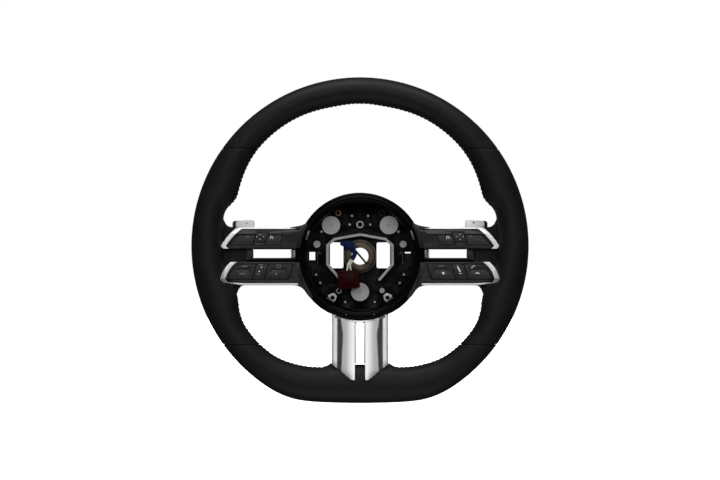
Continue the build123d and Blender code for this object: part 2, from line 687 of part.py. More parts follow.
def arm_passages(front):
    """Clearance round the arms, open towards the front, for the plastic they pass through."""
    wide = ARM_WIDTH / 2 + ARM_CLEAR
    outer = COVER_RADIUS + 1.0
    inner, back = HUB_WALL_RADIUS - 8.6, FLOOR_BACK - ARM_CLEAR
    room = block(inner, outer, UPPER_ARM_Y - wide, UPPER_ARM_Y + wide, back, front)
    room += block(inner, outer, LOWER_ARM_Y - wide, LOWER_ARM_Y + wide, back, front)
    narrow = LOWER_SPOKE_ARM_WIDTH / 2 + ARM_CLEAR
    low_arm = block(-narrow, narrow, -outer, -inner, back, front)
    room += Pos(LOWER_SPOKE_ARM_X, 0, 0) * low_arm
    return both_sides(room)


def make_hub_ring():
    """Gloss ring: outer lip, rounded front and an inner wall with notches for the arms."""
    inner = HUB_WALL_RADIUS
    points = (
        (RING_OUTER, RING_BACK),
        (RING_OUTER, RING_FRONT - 3.0),
        (RING_OUTER - 1.4, RING_FRONT - 0.8),
        (RING_OUTER - 4.0, RING_FRONT),
        (inner + 3.6, RING_FRONT - 0.6),
        (inner + 1.6, RING_FRONT - 2.4),
        (inner + 1.2, RING_FRONT - 5.0),
        (inner, RING_FRONT - 7.0),
        (inner, HUB_WALL_BACK),
        (inner + RING_SHELL, HUB_WALL_BACK),
        (inner + RING_SHELL, RING_FRONT - 7.0),
        (inner + RING_SHELL + 2.4, RING_FRONT - RING_SHELL - 0.8),
        (RING_OUTER - RING_SHELL - 1.0, RING_FRONT - RING_SHELL - 0.8),
        (RING_OUTER - RING_SHELL, RING_BACK),
    )
    return turned(points) - arm_passages(FLOOR + 18)


def blade_outline(grow):
    """Both blades of the lower spoke in the driver's view."""
    half = BLADE_WIDTH / 2
    slot = BLADE_SLOT / 2
    outline = Polyline(
        (0, BLADE_START_Y),
        (half, BLADE_START_Y),
        (half, BLADE_SHOULDER_Y),
        (slot + BLADE_TIP_WIDTH, BLADE_TIP_Y),
        (slot, BLADE_TIP_Y),
        (slot, BLADE_TOP_Y),
        (0, BLADE_TOP_Y),
        close=True,
    )
    sketch = make_face(outline)
    sketch = offset(sketch + mirror(sketch, Plane.YZ), grow) if grow else sketch + mirror(sketch, Plane.YZ)
    return sketch - Circle(RING_OUTER + DECK_GAP)


def leaning(points):
    """A cross-section of the lower spoke, run down it with the spoke's forward lean."""
    section = Pos(0, BLADE_START_Y, BLADE_BASE) * (Plane.XZ * make_face(Polyline(*points, close=True)))
    length = BLADE_START_Y - BLADE_TIP_Y + 4
    run = Vector(0, -length, length * BLADE_RISE)
    return extrude(section, run.length, dir=run.normalized())


def make_blades():
    """Silver trim: crowned blades, a steep facet and a flange on each side."""
    half, slot = BLADE_WIDTH / 2, BLADE_SLOT / 2
    crown, skirt, shell = BLADE_CROWN, -BLADE_SKIRT, BLADE_SHELL
    right = (
        (0, crown),
        (slot, crown),
        (19.8, crown - 1.4),
        (25.4, 3.6),
        (half, 1.8),
        (half, skirt),
        (half - shell, skirt),
        (half - shell, 1.8 - shell),
        (24.6, 3.6 - shell),
        (19.0, crown - 1.4 - shell),
        (slot + shell, crown - shell),
        (slot + shell, skirt),
        (slot, skirt),
        (slot, crown - shell),
        (0, crown - shell),
    )
    trim = both_sides(leaning(right))
    return trim & slab(blade_outline(0), 0, FAR)


def blade_seat():
    """Space that the lower spoke takes out of the grip."""
    half, skirt = BLADE_WIDTH / 2 + 4, -BLADE_SKIRT - DECK_GAP
    return leaning(((-half, skirt), (half, skirt), (half, FAR), (-half, FAR))) & slab(blade_outline(DECK_GAP), 0, FAR)


def make_liner():
    """Black frame inside the lower spoke's opening."""
    slot = BLADE_SLOT / 2
    low = RIM_LOW_Y + BOTTOM_GRIP[-1] + LINER_CLEAR
    frame = plate(-slot, slot, low, BLADE_TOP_Y)
    frame -= plate(-slot + LINER_WALL, slot - LINER_WALL, low - 1, BLADE_TOP_Y - LINER_WALL)
    return slab(frame, LINER_BACK, LINER_FRONT)


def tray():
    """Right-hand wing of the rear cover: a hollow round the arms with a see-through gap in the middle."""
    wall = COVER_WALL
    top, low = UPPER_DECK_TOP - 1.2, LOWER_DECK_LOW + 1.2
    outside = Polyline(
        (COVER_RADIUS - 12, GUSSET_BACK),
        (COVER_RADIUS - 4, GUSSET_BACK),
        (GUSSET_END_X, TRAY_BACK),
        (TRAY_END_X, TRAY_BACK),
        (TRAY_END_X, TRAY_FRONT),
        (COVER_RADIUS - 12, TRAY_FRONT),
        close=True,
    )
    inside = Polyline(
        (COVER_RADIUS - 16, GUSSET_BACK + wall),
        (COVER_RADIUS - 5, GUSSET_BACK + wall),
        (GUSSET_END_X - 1.0, TRAY_BACK + wall),
        (FAR, TRAY_BACK + wall),
        (FAR, FAR),
        (COVER_RADIUS - 16, FAR),
        close=True,
    )
    body = Pos(0, top, 0) * extrude(Plane.XZ * make_face(outside), top - low)
    frame = block(GAP_INNER_X - 4.8, FAR, GAP_LOW - wall, GAP_TOP + wall, 0, FAR) & body
    body -= Pos(0, top - wall, 0) * extrude(Plane.XZ * make_face(inside), top - low - 2 * wall)
    return body + frame - block(GAP_INNER_X, GAP_OUTER_X, GAP_LOW, GAP_TOP, 0, FAR)


def lower_wing():
    """Wing of the rear cover behind the lower spoke, with its slot."""
    wall = COVER_WALL
    half, slot = BLADE_WIDTH / 2 - 4.6, BLADE_SLOT / 2 - LINER_WALL
    back, end_y = LINER_BACK - 4.8, BLADE_SHOULDER_Y + 4
    outside = Polyline(
        (12 - COVER_RADIUS, GUSSET_BACK),
        (6 - COVER_RADIUS, GUSSET_BACK),
        (-18 - COVER_RADIUS, back),
        (end_y, back),
        (end_y, BLADE_BASE - BLADE_SKIRT + 1.0),
        (12 - COVER_RADIUS, BLADE_BASE - BLADE_SKIRT + 1.0),
        close=True,
    )
    inside = Polyline(
        (16 - COVER_RADIUS, GUSSET_BACK + wall),
        (7 - COVER_RADIUS, GUSSET_BACK + wall),
        (-17 - COVER_RADIUS, back + wall),
        (-FAR, back + wall),
        (-FAR, FAR),
        (16 - COVER_RADIUS, FAR),
        close=True,
    )
    body = extrude(Plane.YZ * make_face(outside), half, both=True)
    frame = block(-slot - wall, slot + wall, -FAR, BLADE_TOP_Y + 1.0, 0, LINER_BACK) & body
    body -= extrude(Plane.YZ * make_face(inside), half - wall, both=True)
    return body + frame - block(-slot, slot, -FAR, BLADE_TOP_Y - LINER_WALL, 0, FAR)


def make_rear_cover():
    """Bowl behind the hub with a wing behind each pair of decks and one behind the lower spoke."""
    wall = COVER_WALL
    bowl = turned(
        (
            (COVER_RADIUS, RING_BACK),
            (COVER_RADIUS, 20),
            (COVER_RADIUS - 8, COVER_BACK + 4),
            (COVER_RADIUS - 12, COVER_BACK),
            (COVER_OPENING, COVER_BACK),
            (COVER_OPENING, COVER_BACK + wall),
            (COVER_RADIUS - 13, COVER_BACK + wall),
            (COVER_RADIUS - 8 - wall, COVER_BACK + 4 + wall),
            (COVER_RADIUS - wall, 20 + wall),
            (COVER_RADIUS - wall, RING_BACK),
        )
    )
    wings = both_sides(tray()) + lower_wing() - rod(0, 0, COVER_RADIUS - wall, -FAR, FAR)
    wings -= rod(0, 0, RING_OUTER + DECK_GAP, RING_BACK - DECK_GAP, FAR)
    cover = bowl - arm_passages(FAR) + wings
    slot = Rectangle(SLOT_WIDTH + 2 * SLOT_CLEAR, SLOT_HEIGHT + 2 * SLOT_CLEAR)
    cover -= both_sides(slab(Pos(SLOT_X, SLOT_Y) * slot, 2 * COVER_BACK, FLOOR_BACK))
    for x, y in cover_screw_places():
        cover += rod(x, y, SCREW_BOSS_RADIUS, COVER_BACK + wall / 2, FLOOR_BACK)
        cover -= rod(x, y, SCREW_RADIUS, -FAR, FLOOR_BACK)
    return cover


def make_cover_screws():
    """Three screws through the rear cover into the hub floor."""
    screws = Part()
    for x, y in cover_screw_places():
        screws += rod(x, y, SCREW_HEAD_RADIUS, COVER_BACK - SCREW_HEAD, COVER_BACK)
        screws += rod(x, y, SCREW_RADIUS, COVER_BACK, FLOOR_BACK + 4)
    return screws


# Shift paddles, drawn for the right-hand side


def paddle_outline(outer_x):
    """Paddle blade in the driver's view."""
    low = PADDLE_LOW_Y
    outline = Polyline(
        (PADDLE_INNER_X + PADDLE_NOTCH, low + 6),
        (PADDLE_INNER_X + PADDLE_NOTCH, GAP_TOP + 0.8),
        (PADDLE_INNER_X, GAP_TOP + 5.8),
        (PADDLE_INNER_X, PADDLE_TOP_Y),
        (outer_x, PADDLE_TOP_Y - 1.2),
        (outer_x, low + 4),
        (outer_x - 8, low),
        (PADDLE_INNER_X + PADDLE_NOTCH + 6, low),
        close=True,
    )
    return fillet(make_face(outline).vertices(), 3.0)


def make_paddle_core():
    """Black paddle with its arm and hinge barrel."""
    clear = 0.3
    low, top = EAR_LOW_Y + EAR_THICK + clear, EAR_TOP_Y - EAR_THICK - clear
    blade = slab(paddle_outline(PADDLE_OUTER_X), PADDLE_CORE_BACK, PADDLE_CORE_FRONT)
    arm = block(PADDLE_PIVOT_X, PADDLE_INNER_X + 6, low + 0.6, top - 0.6, PADDLE_CORE_BACK, PADDLE_CORE_FRONT)
    barrel = upright(BARREL_RADIUS, low, top)
    return blade + arm + barrel - upright(PIN_RADIUS + PIN_CLEAR, low - 1, top + 1)


def upright(radius, low, top):
    """A cylinder on the paddle's hinge axis."""
    stand = Rot(-90, 0, 0) * extrude(Circle(radius), top - low)
    return Pos(PADDLE_PIVOT_X, low, PADDLE_PIVOT_Z) * stand


def make_paddle_cap():
    """Silver face of the paddle."""
    return slab(paddle_outline(PADDLE_CAP_OUTER_X), PADDLE_CORE_FRONT, PADDLE_CORE_FRONT + PADDLE_CAP)


def make_paddle_housing():
    """Bracket on the rear cover with two ears for the pin."""
    low, top = EAR_LOW_Y, EAR_TOP_Y
    inner, outer = PADDLE_PIVOT_X - 14, PADDLE_PIVOT_X + 9
    base = block(inner, outer, low, top, PADDLE_PIVOT_Z + 4.6, TRAY_BACK)
    ears = block(inner + 8, PADDLE_PIVOT_X + 4, low, low + EAR_THICK, PADDLE_PIVOT_Z - 4, TRAY_BACK)
    ears += block(inner + 8, PADDLE_PIVOT_X + 4, top - EAR_THICK, top, PADDLE_PIVOT_Z - 4, TRAY_BACK)
    return base + ears - upright(PIN_RADIUS, low - 1, top + 1)


def make_paddle_switch():
    """Small switch in front of the paddle's arm."""
    middle = (EAR_LOW_Y + EAR_TOP_Y) / 2
    x = PADDLE_PIVOT_X + 6
    case = block(x - 2.5, x + 2.5, middle - 3, middle + 3, PADDLE_PIVOT_Z + 2.8, PADDLE_PIVOT_Z + 4.6)
    return case + rod(x, middle, 1.0, PADDLE_PIVOT_Z + 2.2, PADDLE_PIVOT_Z + 2.8)


# Hub fittings


def lead(points, radius, bend):
    """A round lead of straight runs joined by tangent bends."""
    path = FilletPolyline(*points, radius=bend)
    return sweep(Plane(origin=path @ 0, z_dir=path % 0) * Circle(radius), path=path)


RED_X, RED_Y, RED_TURN = -12.4, -26.4, 5.0


def make_red_connector():
    """Connector that rests on the ridge, with a foot on the hub floor and a latch on its front."""
    back, front = RIDGE_FRONT, RIDGE_FRONT + 11
    body = slab(fillet(Rectangle(23.6, 18.4).vertices(), 1.5), back, front)
    body += block(-5, 3, -5.4, -1, FLOOR, back)
    body += block(-6, 6, -4.5, 4.5, front, front + 1.6)
    body += block(-11.3, 11.3, 8.0, 11.0, INSERT_LENGTH + 1, front)
    return Pos(RED_X, RED_Y, 0) * (Rot(0, 0, RED_TURN) * body)


def make_blue_connector():
    """Blue plug over the hub's upper left, with its bent sleeve."""
    outline = Polyline((-22, 17.2), (-8, 16.4), (-5.5, 13.8), (-7.5, 7.6), (-15, 9.0), (-22, 12.6), close=True)
    body = slab(fillet(make_face(outline).vertices(), 1.2), INSERT_LENGTH, INSERT_LENGTH + 8)
    return body + block(-16, -11, 13, 17.6, FLOOR + 2, INSERT_LENGTH + 5)


LEAD_Z = INSERT_LENGTH + 4


def make_blue_lead():
    """Blue sleeve from the plug down beside the bore."""
    return lead(((-10.4, 9.4, LEAD_Z), (-5.8, 5.6, LEAD_Z), (-6.0, 1.6, LEAD_Z), (-9.0, -3.6, LEAD_Z)), 2.6, 4.0)


def make_white_leads():
    """Two pale leads from the blue sleeve to the red connector."""
    left = ((-9.9, -3.1, LEAD_Z), (-13.4, -9.1, LEAD_Z), (-14.6, -18.4, LEAD_Z))
    right = ((-8.1, -4.1, LEAD_Z), (-11.2, -9.5, LEAD_Z), (-9.6, -18.4, LEAD_Z))
    leads = lead(left, WIRE_RADIUS, 4.0) + lead(right, WIRE_RADIUS, 4.0)
    return leads - make_red_connector() - make_blue_lead()


def make_black_lead():
    """Thin dark lead that crosses in front of the bore."""
    radius = WIRE_RADIUS * 1.1
    z = INSERT_LENGTH + radius
    return lead(((-11.0, 8.0, z), (-4.4, 5.6, z), (6.2, -6.8, z), (12.6, -9.4, z)), radius, 6.0)


def make_airbag_clip():
    """Sheet-metal catch with an ear, on the right of the hub floor."""
    outline = Polyline((25.6, -44.2), (29.0, -40.8), (32.4, -41.6), (36.4, -44.0), (32.6, -48.4), (27.6, -50.6), close=True)
    sketch = fillet(make_face(outline).vertices(), 1.0)
    return slab(sketch - Pos(30.6, -46.2) * Circle(2.2), FLOOR, FLOOR + 2.4)


def make_spring():
    """Bent spring wire beside the right-hand slot."""
    z = FLOOR + SPRING_WIRE_RADIUS
    path = FilletPolyline((44.2, 2.2, z), (44.2, 4.2, z), (47.4, 4.2, z), (47.4, -8.2, z), radius=1.0)
    return sweep(Plane(origin=path @ 0, z_dir=path % 0) * Circle(SPRING_WIRE_RADIUS), path=path)


def make_inserts():
    """Threaded bushes at the top of the hub floor."""
    bushes = Part()
    for x, y in INSERT_PLACES:
        bushes += rod(x, y, 3.4, FLOOR_BACK, FLOOR + 3.6) - rod(x, y, 2.0, FLOOR_BACK, FAR)
    return bushes


def make_gap_clip():
    """Toothed contact clip at the inner end of the gap between the decks."""
    x, z = GAP_INNER_X - 4.2, TRAY_FRONT
    clip = block(x, x + 2.2, GAP_LOW + 0.4, GAP_TOP - 0.4, z, z + 1.2)
    middle = (GAP_LOW + GAP_TOP) / 2
    for shift in (-3.1, 0.0, 3.1):
        clip += block(x, x + 5.2, middle + shift - 0.9, middle + shift + 0.9, z, z + 1.2)
    return clip


def make_module():
    """Control unit behind the hub floor, with its two sockets."""
    body = block(-22, 22, 27, 49, FLOOR_BACK - 12, FLOOR_BACK)
    body -= block(-18, -2, 29, 36, FLOOR_BACK - 12, FLOOR_BACK - 5)
    return body - block(3, 17, 29, 36, FLOOR_BACK - 12, FLOOR_BACK - 5)


# Put the wheel together


def make_wheel():
    """All pieces by name."""
    pieces = {}
    decks = {"upper": Deck(True), "lower": Deck(False)}
    armature = make_armature()
    pieces["armature"] = armature
    pieces["hub_insert"] = make_insert()

    seats = blade_seat()
    for deck in decks.values():
        seats += both_sides(deck.seat())
    rim = rim_solid() + both_sides(spoke_root()) - armature - seats
    gap = SEAM_GAP / 2
    pieces["top_grip"] = rim & block(-FAR, FAR, UPPER_SEAM_Y + gap, FAR, 0, FAR)
    pieces["bottom_grip"] = rim & block(-FAR, FAR, -FAR, LOWER_SEAM_Y - gap, 0, FAR)
    side_grip = rim & block(0, FAR, LOWER_SEAM_Y + gap, UPPER_SEAM_Y - gap, 0, FAR)
    pieces["right_grip"] = side_grip
    pieces["left_grip"] = mirror(side_grip, Plane.YZ)

    pieces["hub_ring"] = make_hub_ring()
    pieces["lower_spoke_trim"] = make_blades()
    pieces["lower_spoke_liner"] = make_liner()
    pieces["rear_cover"] = make_rear_cover()
    pieces["cover_screws"] = make_cover_screws()
    pieces["control_module"] = make_module()

    paired = {
        "paddle_core": make_paddle_core(),
        "paddle_cap": make_paddle_cap(),
        "paddle_housing": make_paddle_housing(),
        "paddle_switch": make_paddle_switch(),
        "paddle_pin": upright(PIN_RADIUS, EAR_LOW_Y, EAR_TOP_Y),
        "gap_clip": make_gap_clip(),
        "airbag_clip": make_airbag_clip(),
        "retaining_spring": make_spring(),
    }
    for level, deck in decks.items():
        paired[f"{level}_housing"] = deck.housing()
        paired[f"{level}_bright_trim"] = deck.bright()
        paired[f"{level}_board"] = deck.board()
        for name in deck.fields:
            paired[f"{level}_{name}_key"] = deck.key(name)
    for name, piece in paired.items():
        pieces[f"right_{name}"] = piece
        pieces[f"left_{name}"] = mirror(piece, Plane.YZ)
    pieces["housing_screws"] = both_sides(decks["upper"].screw() + decks["lower"].screw())

    pieces["red_connector"] = make_red_connector()
    pieces["blue_connector"] = make_blue_connector()
    pieces["blue_lead"] = make_blue_lead() - pieces["blue_connector"]
    pieces["white_leads"] = make_white_leads()
    pieces["black_lead"] = make_black_lead() - pieces["blue_connector"] - pieces["blue_lead"]
    pieces["threaded_inserts"] = make_inserts()
    return pieces


def write(pieces):
    """Turn every piece upright and write it."""
    os.makedirs("parts", exist_ok=True)
    for name, piece in pieces.items():
        export_step(Rot(90, 0, 0) * piece, f"parts/{name}.step")


if __name__ == "__main__":
    write(make_wheel())
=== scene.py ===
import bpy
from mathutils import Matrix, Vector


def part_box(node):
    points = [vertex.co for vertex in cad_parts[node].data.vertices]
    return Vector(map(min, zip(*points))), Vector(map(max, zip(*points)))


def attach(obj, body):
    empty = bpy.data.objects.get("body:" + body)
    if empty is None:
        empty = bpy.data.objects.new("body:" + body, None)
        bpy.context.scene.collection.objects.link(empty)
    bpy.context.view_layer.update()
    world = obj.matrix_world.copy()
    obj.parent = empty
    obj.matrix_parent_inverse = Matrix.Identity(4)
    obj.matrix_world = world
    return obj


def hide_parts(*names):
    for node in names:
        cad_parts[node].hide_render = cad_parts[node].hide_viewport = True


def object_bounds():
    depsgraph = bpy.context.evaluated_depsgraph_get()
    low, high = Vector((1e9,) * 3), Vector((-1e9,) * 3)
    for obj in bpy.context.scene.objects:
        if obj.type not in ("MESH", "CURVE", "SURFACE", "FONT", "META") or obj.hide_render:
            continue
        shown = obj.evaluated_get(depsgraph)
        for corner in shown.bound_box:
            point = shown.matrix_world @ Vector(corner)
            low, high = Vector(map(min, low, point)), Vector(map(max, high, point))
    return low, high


bl_info = {
    "name": "Sports steering wheel",
    "version": (1, 0, 0),
    "blender": (4, 5, 0),
    "location": "View3D > Sidebar > Wheel",
    "description": "Leather rim, gloss hub ring, control decks, trim, paddles and stage for the packed wheel",
    "category": "Object",
}

import math

import bpy
from bpy.props import FloatProperty, FloatVectorProperty, IntProperty, PointerProperty
from mathutils import Matrix, Vector

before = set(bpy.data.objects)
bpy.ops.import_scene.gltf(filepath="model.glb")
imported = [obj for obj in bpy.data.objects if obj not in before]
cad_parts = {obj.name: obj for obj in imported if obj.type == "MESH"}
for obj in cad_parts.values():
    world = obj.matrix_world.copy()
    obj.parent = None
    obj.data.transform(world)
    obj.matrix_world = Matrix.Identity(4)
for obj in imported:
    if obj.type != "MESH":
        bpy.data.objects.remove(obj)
CAD_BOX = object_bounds()
SIDES = {"left": -1, "right": 1}
KEYS = ("inner", "pad", "outer")


# Sizes and colours


def length(name, description, default):
    settings = {"name": name, "description": description, "default": default}
    return FloatProperty(min=0.0, unit="LENGTH", precision=5, **settings)


def colour(name, description, default):
    settings = {"name": name, "description": description, "default": default}
    return FloatVectorProperty(size=3, min=0.0, max=1.0, subtype="COLOR", **settings)


class WheelSizes(bpy.types.PropertyGroup):
    """Sizes of the visible detail"""

    leather_cell: length("Leather cell", "Mesh size of the leather panels", 0.001)
    leather_rounding: IntProperty(
        name="Leather rounding", description="Smoothing passes on the leather", default=8, min=0
    )
    stitch_pitch: length("Stitch pitch", "Distance between two stitches along the seam", 0.0048)
    stitch_half: length("Stitch half width", "Reach of a stitch to each side of the seam", 0.0021)
    stitch_thickness: length("Thread", "Thickness of the sewing thread", 0.0009)
    deck_edge: length("Deck edge", "Rounding of the deck housings", 0.0004)
    trim_edge: length("Trim edge", "Rounding of the bright trim", 0.0003)
    key_edge: length("Key edge", "Rounding of the keys", 0.00014)
    blade_edge: length("Blade edge", "Rounding of the lower spoke", 0.0007)
    cover_edge: length("Cover edge", "Rounding of the rear cover", 0.0007)
    paddle_edge: length("Paddle edge", "Rounding of the paddles", 0.0006)
    mark_height: length("Mark height", "Print thickness of the key marks", 0.00006)
    groove_depth: length("Groove depth", "Depth of the finger groove in a rocker", 0.0007)


class WheelColours(bpy.types.PropertyGroup):
    """Colours of the finishes"""

    leather: colour("Leather", "Smooth black leather", (0.0050, 0.0050, 0.0056))
    thread: colour("Thread", "Sewing thread", (0.006, 0.006, 0.007))
    gloss: colour("Gloss black", "Hub ring", (0.0016, 0.0016, 0.0019))
    panel: colour("Panel black", "Deck housings", (0.0185, 0.0185, 0.0205))
    key: colour("Key black", "Satin keys", (0.016, 0.016, 0.0185))
    bright: colour("Bright trim", "Satin chrome", (0.92, 0.92, 0.93))
    silver: colour("Satin silver", "Lower spoke and paddles", (0.70, 0.70, 0.71))
    casting: colour("Casting", "Black coated casting", (0.0042, 0.0042, 0.0048))
    machined: colour("Machined", "Bare turned faces of the casting", (0.50, 0.50, 0.485))
    ridge: colour("Ridge", "Bare edge of the raised frame", (0.47, 0.47, 0.45))
    bronze: colour("Bush", "Oiled steel bush", (0.120, 0.099, 0.073))
    matte: colour("Matte black", "Moulded rear parts", (0.012, 0.012, 0.013))
    red: colour("Red", "Red connector", (0.014, 0.0004, 0.0009))
    blue: colour("Blue", "Blue plug and sleeve", (0.0020, 0.0095, 0.044))
    pale: colour("Pale lead", "Pale insulation", (0.62, 0.60, 0.54))
    steel: colour("Steel", "Zinc-plated steel", (0.52, 0.51, 0.49))
    catch: colour("Catch", "Yellow-zinc airbag catches", (0.86, 0.76, 0.71))
    brass: colour("Brass", "Threaded bushes", (0.42, 0.22, 0.12))
    board: colour("Board", "Switch boards", (0.01, 0.05, 0.02))
    mark: colour("Marks", "Printed marks on the keys", (0.75, 0.75, 0.75))
    faint_mark: colour("Faint marks", "Marks that only show when lit from behind", (0.13, 0.13, 0.135))
    paddle_mark: colour("Paddle marks", "Marks on the shift paddles", (0.05, 0.05, 0.052))
    backdrop: colour("Backdrop", "Studio floor", (0.90, 0.90, 0.90))


def sizes():
    return bpy.context.scene.wheel_sizes


def colours():
    return bpy.context.scene.wheel_colours


def place(x, y, z):
    """Driver's view in millimetres (right, up, towards the driver) to a point in the frame."""
    return Vector((x, -z, y)) / 1000


# Node groups that several finishes share


def node(tree, kind, inputs=None, **settings):
    made = tree.nodes.new("ShaderNode" + kind)
    for key, value in settings.items():
        setattr(made, key, value)
    for key, value in (inputs or {}).items():
        if isinstance(value, bpy.types.NodeSocket):
            tree.links.new(value, made.inputs[key])
        else:
            made.inputs[key].default_value = value
    return made


def calc(tree, operation, first, second=0.0, third=0.0):
    return node(tree, "Math", {0: first, 1: second, 2: third}, operation=operation).outputs[0]


def spread(tree, value, low, high, start=0.0, stop=1.0):
    """A value between start and stop, mapped to low and high."""
    fields = {"Value": value, "From Min": start, "From Max": stop, "To Min": low, "To Max": high}
    return node(tree, "MapRange", fields).outputs["Result"]


def blend(tree, mask, dark, light):
    mix = node(tree, "Mix", {0: mask, 6: (*dark, 1.0), 7: (*light, 1.0)}, data_type="RGBA")
    return mix.outputs[2]


def noise(tree, vector, scale, detail=2.0, rough=0.5):
    fields = {"Vector": vector, "Scale": scale, "Detail": detail, "Roughness": rough}
    return node(tree, "TexNoise", fields).outputs["Fac"]


def vector(tree, operation, first, second):
    return node(tree, "VectorMath", {0: first, 1: second}, operation=operation).outputs[0]


def ripple(tree, value, pitch):
    """A wave between 0 and 1 that repeats at a pitch."""
    turns = calc(tree, "MULTIPLY", calc(tree, "DIVIDE", value, pitch), 2 * math.pi)
    return calc(tree, "MULTIPLY_ADD", calc(tree, "SINE", turns), 0.5, 0.5)


def new_group(name, inputs, outputs):
    tree = bpy.data.node_groups.new(name, "ShaderNodeTree")
    for label, default in inputs.items():
        socket = tree.interface.new_socket(label, in_out="INPUT", socket_type="NodeSocketFloat")
        socket.default_value = default
    for label in outputs:
        tree.interface.new_socket(label, in_out="OUTPUT", socket_type="NodeSocketFloat")
    entry = tree.nodes.new("NodeGroupInput")
    leave = tree.nodes.new("NodeGroupOutput")
    where = node(tree, "TexCoord").outputs["Object"]
    return tree, entry.outputs, leave.inputs, where


def leather_grain():
    """Pebbled grain with fine pores and soft patches of wear."""
    inputs = {"Scale": 760.0, "Pores": 0.35}
    tree, entry, leave, where = new_group("Leather grain", inputs, ("Height", "Tone"))
    drift = node(tree, "TexNoise", {"Vector": where, "Scale": 180.0, "Detail": 1.0}).outputs["Color"]
    moved = vector(tree, "ADD", where, vector(tree, "MULTIPLY", drift, (0.0011, 0.0011, 0.0011)))
    fields = {"Vector": moved, "Scale": entry["Scale"], "Smoothness": 0.6}
    cells = node(tree, "TexVoronoi", fields, feature="SMOOTH_F1").outputs["Distance"]
    pebble = spread(tree, cells, 1.0, 0.0, 0.1, 0.75)
    pores = noise(tree, where, calc(tree, "MULTIPLY", entry["Scale"], 3.1), 3.0)
    height = calc(tree, "MULTIPLY_ADD", pores, entry["Pores"], pebble)
    tree.links.new(height, leave["Height"])
    tree.links.new(noise(tree, where, 34.0, 5.0, 0.6), leave["Tone"])
    return tree


def mottle():
    """Slow change of tone over a surface, with a little fine grain in it."""
    tree, entry, leave, where = new_group("Mottle", {"Scale": 60.0, "Fine": 0.3}, ("Tone",))
    slow = noise(tree, where, entry["Scale"], 4.0, 0.55)
    fine = noise(tree, where, calc(tree, "MULTIPLY", entry["Scale"], 22.0), 2.0)
    fine = calc(tree, "SUBTRACT", fine, 0.5)
    tree.links.new(calc(tree, "MULTIPLY_ADD", fine, entry["Fine"], slow), leave["Tone"])
    return tree


def moulded_grain():
    """Fine eroded texture of moulded plastic and coated castings."""
    tree, entry, leave, where = new_group("Moulded grain", {"Scale": 2200.0}, ("Height", "Tone"))
    grain = noise(tree, where, entry["Scale"], 3.0, 0.65)
    tree.links.new(spread(tree, grain, 0.0, 1.0, 0.3, 0.7), leave["Height"])
    tree.links.new(noise(tree, where, 90.0, 4.0), leave["Tone"])
    return tree


def brushed_lines():
    """Hair lines of brushed metal, drawn out along z or along x."""
    inputs = {"Across": 2600.0, "Along": 45.0, "Turn": 0.0}
    tree, entry, leave, where = new_group("Brushed lines", inputs, ("Height", "Tone"))
    parts = node(tree, "SeparateXYZ", {0: where}).outputs
    across = node(tree, "Mix", {0: entry["Turn"], 2: parts[0], 3: parts[2]}).outputs[0]
    along = node(tree, "Mix", {0: entry["Turn"], 2: parts[2], 3: parts[0]}).outputs[0]
    stretched = {
        0: calc(tree, "MULTIPLY", across, entry["Across"]),
        1: calc(tree, "MULTIPLY", parts[1], entry["Across"]),
        2: calc(tree, "MULTIPLY", along, entry["Along"]),
    }
    lines = noise(tree, node(tree, "CombineXYZ", stretched).outputs[0], 1.0, 4.0, 0.6)
    tree.links.new(spread(tree, lines, 0.0, 1.0, 0.25, 0.75), leave["Height"])
    tree.links.new(noise(tree, where, 55.0, 3.0), leave["Tone"])
    return tree


def turned_rings():
    """Turning marks round the three mounting faces of the hub."""
    tree, entry, leave, where = new_group("Turned rings", {"Pitch": 0.0009}, ("Height", "Tone"))
    nearest = None
    for x, z in MOUNT_FACES:
        shift = vector(tree, "SUBTRACT", where, (x, 0.0, z))
        flat = vector(tree, "MULTIPLY", shift, (1.0, 0.0, 1.0))
        reach = node(tree, "VectorMath", {0: flat}, operation="LENGTH").outputs["Value"]
        nearest = reach if nearest is None else calc(tree, "MINIMUM", nearest, reach)
    wobble = calc(tree, "MULTIPLY_ADD", noise(tree, where, 160.0, 2.0), 0.0012, nearest)
    wave = ripple(tree, wobble, entry["Pitch"])
    speck = noise(tree, where, 1900.0, 3.0, 0.7)
    tree.links.new(wave, leave["Height"])
    tone = calc(tree, "MULTIPLY_ADD", wave, 0.25, calc(tree, "MULTIPLY", speck, 0.75))
    middle = spread(tree, nearest, 0.55, 1.0, 0.0006, 0.0024)
    tree.links.new(calc(tree, "MULTIPLY", tone, middle), leave["Tone"])
    return tree


def dot_grid():
    """Small raised points of a touch pad."""
    tree, entry, leave, where = new_group("Dot grid", {"Pitch": 0.0013}, ("Height",))
    parts = node(tree, "SeparateXYZ", {0: where}).outputs
    across, up = (ripple(tree, part, entry["Pitch"]) for part in (parts[0], parts[2]))
    peak = calc(tree, "MULTIPLY", across, up)
    tree.links.new(spread(tree, peak, 0.0, 1.0, 0.45, 0.8), leave["Height"])
    return tree


MOUNT_FACES = ((-0.0322, 0.0346), (0.0322, 0.0346), (0.0, -0.0396))
GROUPS = {
    "Leather grain": leather_grain,
    "Mottle": mottle,
    "Moulded grain": moulded_grain,
    "Brushed lines": brushed_lines,
    "Turned rings": turned_rings,
    "Dot grid": dot_grid,
}


# Finishes


def use(tree, name, **inputs):
    """Places a shared group in a material."""
    made = tree.nodes.new("ShaderNodeGroup")
    made.node_tree = bpy.data.node_groups.get(name) or GROUPS[name]()
    for label, value in inputs.items():
        made.inputs[label].default_value = value
    return made.outputs


def new_finish(name, **sockets):
    """A material with one Principled shader, its fixed values set on the shader."""
    material = bpy.data.materials.new(name)
    material.use_nodes = True
    tree = material.node_tree
    for label, value in sockets.items():
        tree.nodes["Principled BSDF"].inputs[label.replace("_", " ")].default_value = value
    return material, tree


